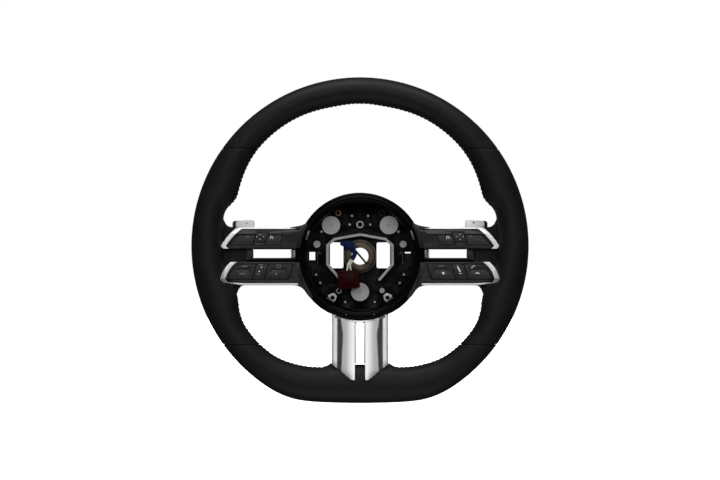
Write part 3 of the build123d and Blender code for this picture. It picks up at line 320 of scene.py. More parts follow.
def shade(base, factor):
    return tuple(min(1.0, part * factor) for part in base)


def tint(tree, base, tone, shades):
    """Ties the shader's colour to a tone, between two shades of a base colour."""
    dark, light = (shade(base, factor) for factor in shades)
    tree.links.new(blend(tree, tone, dark, light), tree.nodes["Principled BSDF"].inputs["Base Color"])


def relief(tree, tone, rough, height, strength, distance):
    """Ties the shader's roughness to a tone, and its normal to a height."""
    sockets = tree.nodes["Principled BSDF"].inputs
    tree.links.new(spread(tree, tone, *rough), sockets["Roughness"])
    fields = {"Height": height, "Strength": strength, "Distance": distance}
    tree.links.new(node(tree, "Bump", fields).outputs["Normal"], sockets["Normal"])


def leather_finish(name):
    material, tree = new_finish(name, Specular_IOR_Level=0.3)
    grain = use(tree, "Leather grain", Scale=760.0, Pores=0.35)
    tone = spread(tree, grain["Tone"], 0.0, 1.0, 0.3, 0.7)
    tint(tree, colours().leather, tone, (0.8, 1.25))
    relief(tree, tone, (0.5, 0.62), grain["Height"], 0.22, 0.00022)
    return material


def thread_finish(name):
    material, tree = new_finish(name, Specular_IOR_Level=0.3)
    lines = use(tree, "Brushed lines", Across=5200.0, Along=900.0)
    tint(tree, colours().thread, lines["Height"], (0.6, 1.6))
    relief(tree, lines["Tone"], (0.6, 0.75), lines["Height"], 0.4, 0.0001)
    return material


def gloss_finish(name):
    material, tree = new_finish(name, Specular_IOR_Level=0.06)
    tone = use(tree, "Mottle", Scale=26.0, Fine=0.1)["Tone"]
    tint(tree, colours().gloss, tone, (0.7, 1.4))
    relief(tree, tone, (0.07, 0.16), tone, 0.02, 0.0003)
    return material


def pad_finish(name):
    material, tree = new_finish(name, Specular_IOR_Level=0.5)
    dots = use(tree, "Dot grid", Pitch=0.0013)["Height"]
    tone = use(tree, "Mottle", Scale=120.0)["Tone"]
    tint(tree, colours().key, tone, (0.6, 1.1))
    relief(tree, tone, (0.3, 0.42), dots, 0.5, 0.0002)
    return material


def bush_finish(name):
    material, tree = new_finish(name, Metallic=0.85)
    tone = use(tree, "Mottle", Scale=140.0, Fine=0.5)["Tone"]
    tint(tree, colours().bronze, tone, (0.35, 1.5))
    relief(tree, tone, (0.3, 0.5), tone, 0.12, 0.0003)
    return material


def casting_finish(name):
    material, tree = new_finish(name, Specular_IOR_Level=0.2)
    grain = use(tree, "Moulded grain", Scale=1100.0)
    tint(tree, colours().casting, grain["Tone"], (0.6, 1.7))
    relief(tree, grain["Tone"], (0.4, 0.58), grain["Height"], 0.3, 0.0002)
    return material


def machined_finish(name):
    material, tree = new_finish(name, Metallic=0.5)
    rings = use(tree, "Turned rings", Pitch=0.0009)
    tone = spread(tree, rings["Tone"], 0.0, 1.0, 0.25, 0.75)
    tint(tree, colours().machined, tone, (0.62, 1.3))
    relief(tree, tone, (0.62, 0.5), rings["Height"], 0.05, 0.0001)
    return material


def bare_finish(name):
    material, tree = new_finish(name, Metallic=0.6)
    tone = use(tree, "Mottle", Scale=220.0, Fine=0.6)["Tone"]
    tint(tree, colours().ridge, tone, (0.65, 1.15))
    relief(tree, tone, (0.4, 0.6), tone, 0.1, 0.0002)
    return material


# Plastics: colour and its factor, roughness from and to, grain scale and strength, specular level
PLASTICS = {
    "panel black": ("panel", 1.0, 0.24, 0.34, 1500.0, 0.03, 0.25),
    "key black": ("key", 1.0, 0.36, 0.48, 2400.0, 0.08, 0.5),
    # the lower deck's keys: the key black darkened to 0.7, painted shade on the same plastic as the upper
    # keys
    "lower key": ("key", 0.7, 0.36, 0.48, 2400.0, 0.08, 0.5),
    "matte black": ("matte", 1.0, 0.55, 0.7, 1700.0, 0.3, 0.4),
    "board": ("board", 1.0, 0.35, 0.5, 700.0, 0.1, 0.5),
    "red": ("red", 1.0, 0.3, 0.42, 1900.0, 0.15, 0.08),
    "blue": ("blue", 1.0, 0.34, 0.46, 1900.0, 0.15, 0.12),
    "pale lead": ("pale", 1.0, 0.38, 0.5, 900.0, 0.1, 0.5),
    "dark lead": ("matte", 1.0, 0.4, 0.5, 900.0, 0.1, 0.5),
    "mark": ("mark", 1.0, 0.45, 0.55, 1500.0, 0.02, 0.5),
    "faint mark": ("faint_mark", 1.0, 0.45, 0.55, 1500.0, 0.02, 0.5),
    "paddle mark": ("paddle_mark", 1.0, 0.5, 0.6, 1500.0, 0.05, 0.5),
}
# Metals: colour and its factor, roughness from and to, lines across, along and turned, their strength,
# contrast, metallic
METALS = {
    "bright trim": ("bright", 1.0, 0.3, 0.42, 1500.0, 1300.0, 1.0, 0.25, 0.07, 0.35),
    "satin silver": ("silver", 1.0, 0.27, 0.4, 3200.0, 30.0, 0.0, 0.1, 0.08, 1.0),
    # paddle caps: their own brushing and lower metallic, and the satin silver lightened 1.3 times as painted
    # light
    "paddle silver": ("silver", 1.3, 0.4, 0.55, 1500.0, 1100.0, 0.0, 0.2, 0.1, 0.4),
    "zinc steel": ("steel", 1.0, 0.32, 0.5, 1400.0, 700.0, 0.0, 0.15, 0.15, 1.0),
    "spring wire": ("steel", 0.45, 0.35, 0.5, 1400.0, 700.0, 0.0, 0.15, 0.15, 1.0),
    "copper bush": ("brass", 1.0, 0.3, 0.45, 1600.0, 900.0, 0.0, 0.15, 0.2, 1.0),
    "catch": ("catch", 1.0, 0.4, 0.55, 1400.0, 900.0, 0.0, 0.2, 0.12, 1.0),
}


def plastic_finish(name):
    source, factor, low, high, scale, strength, specular = PLASTICS[name]
    material, tree = new_finish(name, Specular_IOR_Level=specular)
    grain = use(tree, "Moulded grain", Scale=scale)
    tint(tree, shade(getattr(colours(), source), factor), grain["Tone"], (0.75, 1.3))
    relief(tree, grain["Tone"], (low, high), grain["Height"], strength, 0.0001)
    return material


def metal_finish(name):
    source, factor, low, high, across, along, turn, strength, contrast, metallic = METALS[name]
    material, tree = new_finish(name, Metallic=metallic)
    lines = use(tree, "Brushed lines", Across=across, Along=along, Turn=turn)
    tone = calc(tree, "MULTIPLY_ADD", lines["Height"], 0.5, calc(tree, "MULTIPLY", lines["Tone"], 0.5))
    tint(tree, shade(getattr(colours(), source), factor), tone, (1.0 - contrast, 1.0 + contrast))
    relief(tree, tone, (low, high), lines["Height"], strength, 0.00008)
    return material


FINISHES = {
    "smooth leather": leather_finish,
    "thread": thread_finish,
    "gloss black": gloss_finish,
    "touch pad": pad_finish,
    "bush": bush_finish,
    "casting": casting_finish,
    "machined": machined_finish,
    "bare edge": bare_finish,
    **dict.fromkeys(PLASTICS, plastic_finish),
    **dict.fromkeys(METALS, metal_finish),
}


def finish(name):
    return bpy.data.materials.get(name) or FINISHES[name](name)


# Modelling helpers

MERGE_REACH = 0.000004
FLAT_ANGLE = 0.6
FACING = (math.pi / 2, 0.0, 0.0)


def only(piece):
    """Selects one object and makes it active."""
    bpy.ops.object.select_all(action="DESELECT")
    piece.select_set(True)
    bpy.context.view_layer.objects.active = piece


def edit(piece):
    only(piece)
    bpy.ops.object.mode_set(mode="EDIT")
    bpy.ops.mesh.select_all(action="SELECT")


def leave_edit():
    bpy.ops.object.mode_set(mode="OBJECT")


def add_modifier(piece, kind, **settings):
    only(piece)
    made = piece.modifiers.new(kind.title(), kind)
    for key, value in settings.items():
        setattr(made, key, value)
    bpy.ops.object.modifier_apply(modifier=made.name)


def settle(piece):
    """Puts an object's place, turn and scale into its mesh."""
    only(piece)
    bpy.ops.object.transform_apply(location=True, rotation=True, scale=True)
    return piece


def linked(label, data):
    """An object for a mesh, a lamp or a camera, linked to the scene."""
    piece = bpy.data.objects.new(label, data)
    bpy.context.scene.collection.objects.link(piece)
    return piece


def from_points(label, points, edges=(), faces=()):
    mesh = bpy.data.meshes.new(label)
    mesh.from_pydata(points, edges, faces)
    return linked(label, mesh)


def from_node(name, label=None, flatten=True):
    """A copy of a CAD node's mesh, with its corners merged and its flat faces joined."""
    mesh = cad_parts[name].data.copy()
    mesh.materials.clear()
    piece = linked(label or name + "_finished", mesh)
    edit(piece)
    bpy.ops.mesh.remove_doubles(threshold=MERGE_REACH)
    if flatten:
        bpy.ops.mesh.dissolve_limited(angle_limit=math.radians(FLAT_ANGLE))
    leave_edit()
    return piece


def soften(piece, width, segments=2, angle=28.0, smooth=32.0, where=None):
    """Rounds the sharp edges, or only those in one place, and smooths the shading up to an angle."""
    fields = {"width": width, "segments": segments, "miter_outer": "MITER_ARC"}
    if where:
        mark_edges(piece, math.radians(angle), where)
        add_modifier(piece, "BEVEL", limit_method="WEIGHT", use_clamp_overlap=False, **fields)
    elif width:
        add_modifier(piece, "BEVEL", limit_method="ANGLE", angle_limit=math.radians(angle), **fields)
    smooth_shade(piece, smooth)
    return piece


def mark_edges(piece, angle, where):
    """Marks the sharp edges whose ends both pass a test."""
    mesh = piece.data
    normals = {}
    for face in mesh.polygons:
        for key in face.edge_keys:
            normals.setdefault(key, []).append(face.normal)
    weights = mesh.attributes.new("bevel_weight_edge", "FLOAT", "EDGE")
    for edge in mesh.edges:
        pair = normals.get(edge.key, ())
        sharp = len(pair) == 2 and pair[0].angle(pair[1], 0.0) > angle
        if sharp and all(where(mesh.vertices[index].co * 1000) for index in edge.vertices):
            weights.data[edge.index].value = 1.0


def smooth_shade(piece, angle=32.0):
    only(piece)
    bpy.ops.object.shade_smooth_by_angle(angle=math.radians(angle))


def dress(piece, look, body="wheel", nodes=()):
    """Gives a finished piece its material and the body that it moves with."""
    piece.data.materials.clear()
    piece.data.materials.append(finish(look))
    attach(piece, body)
    if nodes:
        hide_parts(*nodes)
    return piece


def finished_node(name, width, look, slot, body="wheel", segments=2, where=None):
    """The rounded copy of a CAD node that stands for it."""
    piece = soften(from_node(name, flatten=not where), width, segments, where=where)
    return dress(piece, look, body, (name,))


def added_piece(label, piece, width, look, segments=2):
    """A rounded piece that has no node of its own in the CAD model."""
    soften(piece, width, segments).name = label
    return dress(piece, look)


def paint_node(name, look):
    """A new finish for a CAD node that keeps its own shape."""
    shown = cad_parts[name]
    if not shown.material_slots:
        shown.data.materials.append(None)
    for slot in shown.material_slots:
        slot.material = finish(look)


def join(pieces, label):
    bpy.ops.object.select_all(action="DESELECT")
    for piece in pieces:
        piece.select_set(True)
    bpy.context.view_layer.objects.active = pieces[0]
    bpy.ops.object.join()
    pieces[0].name = label
    return pieces[0]


def box(low, high):
    """A block between two corners, in the driver's millimetres."""
    a, b = place(*low), place(*high)
    bpy.ops.object.select_all(action="DESELECT")
    bpy.ops.mesh.primitive_cube_add(size=1.0, location=(a + b) / 2)
    piece = bpy.context.object
    piece.scale = [abs(part) for part in b - a]
    return settle(piece)


def rod(x, y, back, front, radius, corners=32):
    """A cylinder along the steering axis, in the driver's millimetres."""
    bpy.ops.object.select_all(action="DESELECT")
    bpy.ops.mesh.primitive_cylinder_add(
        vertices=corners,
        radius=radius / 1000,
        depth=abs(front - back) / 1000,
        location=place(x, y, (back + front) / 2),
        rotation=FACING,
    )
    return settle(bpy.context.object)


def mirrored(points, sign):
    """An outline of the right side, or its mirror image for the left."""
    return [(sign * x, y) for x, y in points]


def prism(points, back, front, lean=0.0):
    """A straight block over an outline in the driver's view; a lean brings its lower end forward."""
    corners = [place(x, y, back - lean * y) for x, y in points]
    piece = from_points("prism", corners, faces=[tuple(range(len(points)))])
    return drawn_out(piece, place(0.0, 0.0, front - back))


def drawn_out(piece, run):
    """Extrudes a flat outline into a closed block."""
    edit(piece)
    bpy.ops.mesh.extrude_region_move(TRANSFORM_OT_translate={"value": run})
    return close_up(piece)


def close_up(piece):
    """Turns the faces of the object in edit mode outwards, and leaves that mode."""
    bpy.ops.mesh.select_all(action="SELECT")
    bpy.ops.mesh.normals_make_consistent(inside=False)
    leave_edit()
    return piece


def lofted(label, sections):
    """A closed block through a row of outlines with the same number of corners."""
    count = len(sections[0])
    points = [point for section in sections for point in section]
    faces = [tuple(range(count)), tuple(range(len(points) - count, len(points)))]
    for row in range(len(sections) - 1):
        for index in range(count):
            a, b = row * count + index, row * count + (index + 1) % count
            faces.append((a, b, b + count, a + count))
    piece = from_points(label, points, faces=faces)
    edit(piece)
    return close_up(piece)


def cut(piece, cutter):
    """Takes one closed shape out of another."""
    add_modifier(piece, "BOOLEAN", operation="DIFFERENCE", solver="EXACT", object=cutter)
    bpy.data.objects.remove(cutter)


def set_faces(piece, look, test):
    """Gives the faces that pass a test another finish."""
    piece.data.materials.append(finish(look))
    index = len(piece.data.materials) - 1
    for face in piece.data.polygons:
        if test(face.center * 1000, face.normal):
            face.material_index = index
            face.use_smooth = False


# Leather rim

HORN = (
    (22.0, -125.2), (31.2, -118.1), (31.5, -116.9), (32.4, -117.2), (33.9, -118.5), (37.4, -120.4),
    (41.0, -121.6), (46.0, -123.0), (46.0, -130.0), (22.0, -130.0),
)
HORN_DEPTH = (47.0, 62.0)


class WHEEL_OT_leather_rim(bpy.types.Operator):
    """Four leather panels, drawn tight over the rim and rounded in at their seams"""

    bl_idname = "wheel.leather_rim"
    bl_label = "Leather rim"

    def execute(self, context):
        for name in ("top_grip", "bottom_grip", "left_grip", "right_grip"):
            panel = from_node(name, name.replace("grip", "leather"))
            if name == "bottom_grip":
                horns = [prism(mirrored(HORN, sign), *HORN_DEPTH) for sign in SIDES.values()]
                panel = join([panel, *horns], panel.name)
            panel.data.remesh_voxel_size = sizes().leather_cell
            only(panel)
            bpy.ops.object.voxel_remesh()
            add_modifier(panel, "SMOOTH", factor=0.5, iterations=sizes().leather_rounding)
            smooth_shade(panel, 70.0)
            dress(panel, "smooth leather", nodes=(name,))
        return {"FINISHED"}


RIM_CENTRE = (0.0, 11.6)
SEAM_DEPTH = 53.0
SEARCH_STEP = 0.5
STITCH_LEAN = 0.45
STITCH_GAP = 0.0002
STITCH_STRETCH = 1.15
STITCH_LIFT = 0.12
SEWN = ((-73.0, 73.0), (115.0, 164.0), (-164.0, -115.0))


class WHEEL_OT_stitching(bpy.types.Operator):
    """Herringbone stitches along the inside of the rim"""

    bl_idname = "wheel.stitching"
    bl_label = "Stitching"

    def execute(self, context):
        stitch = self.one_stitch()
        corners = [corner.co.copy() for corner in stitch.data.vertices]
        faces = [tuple(face.vertices) for face in stitch.data.polygons]
        bpy.data.objects.remove(stitch)
        leathers = [bpy.data.objects[name + "_leather"] for name in ("top", "bottom", "left", "right")]
        points, polygons = [], []
        for start, stop in SEWN:
            angle = start
            while angle < stop:
                angle += self.sew(angle, leathers, corners, faces, points, polygons)
        piece = from_points("rim_stitching", points, faces=polygons)
        piece.data.validate()
        smooth_shade(piece, 60.0)
        dress(piece, "thread")
        return {"FINISHED"}

    def one_stitch(self):
        bpy.ops.object.select_all(action="DESELECT")
        bpy.ops.mesh.primitive_uv_sphere_add(segments=8, ring_count=6, radius=0.5)
        stitch = bpy.context.object
        edit(stitch)
        bpy.ops.transform.rotate(value=math.pi / 2, orient_axis="Y", center_override=(0.0, 0.0, 0.0))
        leave_edit()
        return stitch

    def sew(self, angle, leathers, corners, faces, points, polygons):
        """One pair of stitches; gives the turn to the next pair."""
        seam = self.touch(angle, SEAM_DEPTH / 1000, leathers)
        if seam is None:
            return SEARCH_STEP
        reach = (seam[0] - place(*RIM_CENTRE, SEAM_DEPTH)).length
        turn = math.degrees(sizes().stitch_pitch / reach)
        for side in (-1, 1):
            outer = self.touch(angle, SEAM_DEPTH / 1000 + side * sizes().stitch_half, leathers)
            inner = self.touch(angle + STITCH_LEAN * turn, SEAM_DEPTH / 1000 + side * STITCH_GAP, leathers)
            if outer and inner:
                self.lay(outer, inner, corners, faces, points, polygons)
        return turn

    def touch(self, angle, depth, leathers):
        """Where a line from the rim's centre meets the leather, and the leather's normal there."""
        start = Vector((RIM_CENTRE[0] / 1000, -depth, RIM_CENTRE[1] / 1000))
        aim = Vector((math.sin(math.radians(angle)), 0.0, math.cos(math.radians(angle))))
        hits = []
        for leather in leathers:
            hit, where, normal, _ = leather.ray_cast(start, aim)
            if hit:
                hits.append(((where - start).length, where, normal))
        return min(hits, key=lambda item: item[0])[1:] if hits else None

    def lay(self, outer, inner, corners, faces, points, polygons):
        run = inner[0] - outer[0]
        out = (outer[1] + inner[1]).normalized()
        side = run.normalized().cross(out)
        thick = sizes().stitch_thickness
        axes = (run * STITCH_STRETCH, side * thick, side.cross(run).normalized() * thick)
        turned = Matrix(axes).transposed()
        middle = (outer[0] + inner[0]) / 2 + out * thick * STITCH_LIFT
        first = len(points)
        points.extend(middle + turned @ corner for corner in corners)
        polygons.extend(tuple(first + index for index in face) for face in faces)


# Gloss hub ring

RING_PROFILE = (
    (70.2, 44.0), (70.2, 46.6), (69.95, 47.7), (69.3, 48.7), (68.3, 49.55), (67.0, 50.15),
    (65.6, 50.45), (64.2, 50.4), (63.0, 50.0), (61.9, 49.3), (60.95, 48.3), (60.3, 47.1), (59.8, 45.6),
    (59.2, 44.4), (58.75, 43.4), (58.6, 42.2), (58.6, 15.5), (60.9, 15.5), (60.9, 43.5), (63.3, 47.4),
    (66.9, 47.4), (67.9, 44.0),
)
SPIN_STEPS = 192
ARM_ROWS = ((20.0, 12.2), (-17.5, 12.2))
LOWER_ARM = (15.0, 5.1)
NOTCH_REACH = (50.0, 75.0)
NOTCH_DEPTH = (9.4, 34.0)
RING_PIP = (15.3, -64.0)
PIP_DEPTH = (49.6, 50.7)
PIP_RADIUS = 0.8
RING_RIB = ((54.9, 28.6), (57.3, 28.2), (60.3, 19.4), (59.3, 18.0), (57.9, 18.4))
RIB_DEPTH = (44.0, 50.2)


class WHEEL_OT_hub_ring(bpy.types.Operator):
    """Gloss ring, spun from its section and notched for the arms"""

    bl_idname = "wheel.hub_ring"
    bl_label = "Hub ring"

    def execute(self, context):
        count = len(RING_PROFILE)
        points = [place(radius, 0.0, depth) for radius, depth in RING_PROFILE]
        ring = from_points("hub_ring_gloss", points, [(index, (index + 1) % count) for index in range(count)])
        edit(ring)
        bpy.ops.mesh.spin(steps=SPIN_STEPS, angle=2 * math.pi, center=(0.0, 0.0, 0.0), axis=(0.0, 1.0, 0.0))
        bpy.ops.mesh.select_all(action="SELECT")
        bpy.ops.mesh.remove_doubles(threshold=0.00001)
        close_up(ring)
        cut(ring, self.notches())
        smooth_shade(ring, 40.0)
        dress(ring, "gloss black", nodes=("hub_ring",))
        for side, sign in SIDES.items():
            pip = rod(sign * RING_PIP[0], RING_PIP[1], *PIP_DEPTH, PIP_RADIUS, 16)
            added_piece(f"{side}_ring_pip", pip, 0.0002, "spring wire")
            rib = prism(mirrored(RING_RIB, sign), *RIB_DEPTH)
            added_piece(f"{side}_ring_rib", rib, 0.0004, "spring wire")
        return {"FINISHED"}

    def notches(self):
        """Blocks where the arms of the casting pass through the ring."""
        near, far = NOTCH_REACH
        back, front = NOTCH_DEPTH
        middle, half = LOWER_ARM
        cutters = []
        for sign in SIDES.values():
            for y, width in ARM_ROWS:
                cutters.append(box((sign * near, y - width / 2, back), (sign * far, y + width / 2, front)))
            cutters.append(box((sign * middle - half, -far, back), (sign * middle + half, -near, front)))
        return join(cutters, "arm_notches")


# Control decks

UPPER_WEB = (
    (58.6, 37.5), (60.0, 36.3), (61.8, 35.3), (64.0, 34.4), (67.0, 33.6), (70.5, 32.9), (74.0, 32.4),
    (78.0, 32.05), (78.0, 31.0), (73.0, 30.0), (72.6, 9.2), (66.0, 9.2), (65.1, 14.0), (63.5, 20.0),
    (61.4, 26.0), (58.9, 31.2), (57.2, 34.3),
)
LOWER_WEB = (
    (78.0, -31.6), (74.0, -31.7), (69.8, -32.2), (66.4, -33.2), (63.6, -34.8), (61.4, -37.0),
    (59.4, -39.8), (57.2, -43.0), (53.6, -46.6), (51.6, -44.2), (57.2, -34.1), (60.4, -28.0),
    (62.8, -22.2), (64.7, -15.9), (66.0, -9.0), (66.2, -6.4), (72.6, -6.4), (73.0, -29.0),
    (78.0, -30.0),
)
WEB_DEPTH = (47.0, 52.2)
HOUSING_FRONT = -55.0
BAR_ENDS = ((101.9, 102.7), (115.8, 116.6))
BAR_ROW = (-18.4, -15.0)
BAR_DEPTH = (52.0, 55.0)
STRIP_END = (
    (65.0, 30.2), (65.0, 34.1), (67.0, 33.6), (70.5, 32.95), (74.0, 32.45), (76.5, 32.2), (70.5, 30.5),
)
STRIP_END_DEPTH = (50.0, 57.4)
COLLAR_OUTER = ((-37.0, 71.3), (-44.0, 71.4), (-52.0, 71.3), (-60.0, 71.0), (-67.0, 70.2))
COLLAR_INNER = 68.4
COLLAR_DEPTH = (44.4, 48.6)


class WHEEL_OT_control_decks(bpy.types.Operator):
    """Deck housings, bright trim and contact clips, and the webs between the decks and the ring"""

    bl_idname = "wheel.control_decks"
    bl_label = "Control decks"

    def execute(self, context):
        edge = sizes().deck_edge
        shells = (
            ("upper_web", UPPER_WEB, WEB_DEPTH, "panel black"),
            ("lower_web", LOWER_WEB, WEB_DEPTH, "panel black"),
            ("strip_end", STRIP_END, STRIP_END_DEPTH, "panel black"),
            ("ring_collar", self.collar(), COLLAR_DEPTH, "gloss black"),
        )
        for side, sign in SIDES.items():
            for deck in ("upper", "lower"):
                name = f"{side}_{deck}_housing"
                housing = from_node(name, flatten=False)
                if deck == "lower":
                    self.shorten_bars(housing, sign)
                soften(housing, edge, where=lambda spot: spot.y < HOUSING_FRONT)
                dress(housing, "panel black", nodes=(name,))
                trim = f"{side}_{deck}_bright_trim"
                finished_node(trim, sizes().trim_edge, "bright trim", "bright_trim", segments=3)
                paint_node(f"{side}_{deck}_board", "board")
            finished_node(f"{side}_gap_clip", 0.0002, "zinc steel", "steel")
            for label, outline, depth, look in shells:
                shell = prism(mirrored(outline, sign), *depth)
                added_piece(f"{side}_{label}", shell, edge, look)
        return {"FINISHED"}

    def collar(self):
        """Outline of the collar beside the lower half of the ring."""
        outer = [(reach, angle) for angle, reach in COLLAR_OUTER]
        inner = [(COLLAR_INNER, angle) for angle, _ in reversed(COLLAR_OUTER)]
        turned = [(reach, math.radians(angle)) for reach, angle in outer + inner]
        return [(reach * math.cos(angle), reach * math.sin(angle)) for reach, angle in turned]

    def shorten_bars(self, housing, sign):
        """Room between the ends of the rockers' pivot bars and the pad key that is pressed in beside them."""
        (low, high), (back, front) = BAR_ROW, BAR_DEPTH
        for start, stop in BAR_ENDS:
            cut(housing, box((sign * start, low, back), (sign * stop, high, front)))


GROOVE_HALF = (7.2, 0.55)
GROOVE_RISE = 2.6
GROOVE_CLEAR = 2.0


class WHEEL_OT_keys(bpy.types.Operator):
    """Keys with rounded edges, and the finger grooves of the rockers"""

    bl_idname = "wheel.keys"
    bl_label = "Keys"

    def execute(self, context):
        for side in SIDES:
            for deck in ("upper", "lower"):
                for spot in KEYS:
                    node_name = f"{side}_{deck}_{spot}_key"
                    key = from_node(node_name)
                    if deck == "lower" and spot != "pad":
                        self.groove(key, node_name)
                    soften(key, sizes().key_edge)
                    # The lower deck's rockers take the darkened key black, which is painted shade; the upper
                    # keys take the key black itself
                    look = "touch pad" if spot == "pad" else "lower key" if deck == "lower" else "key black"
                    dress(key, look, node_name, (node_name,))
        return {"FINISHED"}

    def groove(self, key, node_name):
        """Shallow groove across a rocker, above its middle."""
        low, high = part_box(node_name)
        middle = (low + high) / 2 * 1000
        front = -low.y * 1000
        bottom = front - sizes().groove_depth * 1000
        wide, tall = GROOVE_HALF
        y = middle.z + GROOVE_RISE
        cut(key, box((middle.x - wide, y - tall, bottom), (middle.x + wide, y + tall, front + GROOVE_CLEAR)))


# Marks: kind, place across and up in the driver's view, size, turn in degrees, finish
RIGHT_MARKS = {
    "upper_inner": (("arch", 96.3, 21.4, 3.6, 0, "mark"),),
    "upper_pad": (
        ("dot", 109.4, 24.2, 0.9, 0, "mark"), ("dot", 105.9, 21.7, 0.9, 0, "mark"),
        ("dot", 113.2, 21.7, 0.9, 0, "mark"), ("dot", 109.8, 18.7, 1.1, 0, "mark"),
    ),
    "upper_outer": (("turn", 121.4, 22.0, 3.4, 0, "faint mark"),),
    "lower_inner": (("bars", 88.8, -10.4, 4.6, 0, "faint mark"), ("dot", 91.2, -18.2, 2.6, 0, "mark")),
    "lower_pad": (
        ("plus", 107.0, -9.6, 3.0, 0, "faint mark"), ("bar", 108.2, -13.8, 6.6, -62, "mark"),
        ("minus", 109.9, -18.6, 2.8, 0, "mark"),
    ),
    "lower_outer": (("bow", 125.0, -10.6, 5.0, -38, "mark"), ("bow", 128.6, -18.4, 5.0, 0, "mark")),
}
LEFT_MARKS = {
    "upper_inner": (("arch", -96.9, 21.4, 3.6, 0, "mark"),),
    "upper_pad": (
        ("dot", -109.4, 24.2, 0.9, 0, "mark"), ("dot", -113.2, 21.7, 0.9, 0, "mark"),
        ("dot", -105.9, 21.7, 0.9, 0, "mark"), ("dot", -109.8, 18.7, 1.1, 0, "mark"),
    ),
    "upper_outer": (("arrow", -122.6, 21.9, 3.0, 90, "faint mark"),),
    "lower_inner": (
        ("frame", -89.0, -10.6, 4.2, 0, "faint mark"), ("arrow", -91.6, -18.9, 3.6, -90, "faint mark"),
    ),
    "lower_pad": (
        ("bar", -108.4, -8.9, 4.6, 0, "faint mark"), ("dot", -107.9, -11.9, 1.4, 0, "mark"),
        ("dot", -110.2, -16.2, 1.4, 0, "mark"), ("bar", -111.4, -19.4, 4.2, 0, "faint mark"),
    ),
    "lower_outer": (
        ("bars", -126.4, -10.6, 6.4, 0, "faint mark"), ("bars", -129.2, -18.9, 6.4, 0, "faint mark"),
    ),
}


class WHEEL_OT_key_marks(bpy.types.Operator):
    """Printed marks on the keys: dots, bars, arrows, plus and minus"""

    bl_idname = "wheel.key_marks"
    bl_label = "Key marks"

    def execute(self, context):
        for side, marks in (("left", LEFT_MARKS), ("right", RIGHT_MARKS)):
            for key, group in marks.items():
                body = f"{side}_{key}_key"
                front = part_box(body)[0].y
                for index, (kind, x, y, size, turn, look) in enumerate(group):
                    mark = draw_mark(kind, x, y, size, turn, front, sizes().mark_height)
                    mark.name = f"{side}_{key}_mark_{index}"
                    dress(mark, look, body)
        return {"FINISHED"}


def strip(x, y, width, height, turn=0.0):
    """A flat bar in the driver's view, still on the plane y = 0."""
    bpy.ops.object.select_all(action="DESELECT")
    bpy.ops.mesh.primitive_plane_add(size=1.0, rotation=FACING)
    piece = bpy.context.object
    piece.scale = (width / 1000, height / 1000, 1.0)
    settle(piece)
    edit(piece)
    bpy.ops.transform.rotate(value=math.radians(turn), orient_axis="Y", center_override=(0.0, 0.0, 0.0))
    bpy.ops.transform.translate(value=(x / 1000, 0.0, y / 1000))
    leave_edit()
    return piece


def disc(x, y, radius, corners=20, turn=0.0):
    bpy.ops.object.select_all(action="DESELECT")
    bpy.ops.mesh.primitive_circle_add(
        vertices=corners,
        radius=radius / 1000,
        fill_type="NGON",
        location=(x / 1000, 0.0, y / 1000),
        rotation=(math.pi / 2, math.radians(turn), 0.0),
    )
    return settle(bpy.context.object)


BOW_PIECES = 7


def bow(x, y, radius, start, stop, width):
    """Part of a flat ring, as short straight pieces end to end."""
    pieces = []
    chord = 2.1 * radius * math.sin(math.radians(stop - start) / BOW_PIECES / 2)
    for index in range(BOW_PIECES):
        angle = math.radians(start + (stop - start) * (index + 0.5) / BOW_PIECES)
        spot = (x + radius * math.sin(angle), y + radius * math.cos(angle))
        pieces.append(strip(*spot, chord, width, math.degrees(angle)))
    return pieces


def draw_mark(kind, x, y, size, turn, front, height):
    """A raised mark on the plane of a key's front."""
    line = max(0.5, size * 0.16)
    if kind == "dot":
        parts = [disc(x, y, size / 2)]
    elif kind in ("bar", "minus"):
        parts = [strip(x, y, size, line * 1.3, turn)]
    elif kind == "plus":
        parts = [strip(x, y, size, line * 1.3), strip(x, y, line * 1.3, size)]
    elif kind == "bars":
        parts = [strip(x + shift * size, y, size * 0.26, size * 0.24) for shift in (-0.36, 0.0, 0.36)]
    elif kind == "arrow":
        parts = [disc(x, y, size / 2, 3, turn)]
    elif kind == "arch":
        parts = bow(x, y - size * 0.15, size * 0.36, -95, 95, line * 1.7)
        parts += [strip(x + side * size * 0.36, y - size * 0.32, line * 1.7, size * 0.36) for side in (-1, 1)]
    elif kind == "bow":
        parts = bow(x, y - size * 0.42, size * 0.52, turn - 52, turn + 52, line * 1.2)
    elif kind == "turn":
        parts = bow(x, y - size * 0.1, size * 0.36, -80, 90, line)
        parts.append(disc(x - size * 0.36, y - size * 0.2, size * 0.24, 3, 60))
    else:
        parts = [strip(x, y + side * size * 0.36, size, line) for side in (-1, 1)]
        parts += [strip(x + side * size * 0.46, y, line, size * 0.72) for side in (-1, 1)]
    mark = join(parts, "mark")
    edit(mark)
    bpy.ops.transform.translate(value=(0.0, front, 0.0))
    leave_edit()
    return drawn_out(mark, (0.0, -height, 0.0))


# Lower spoke

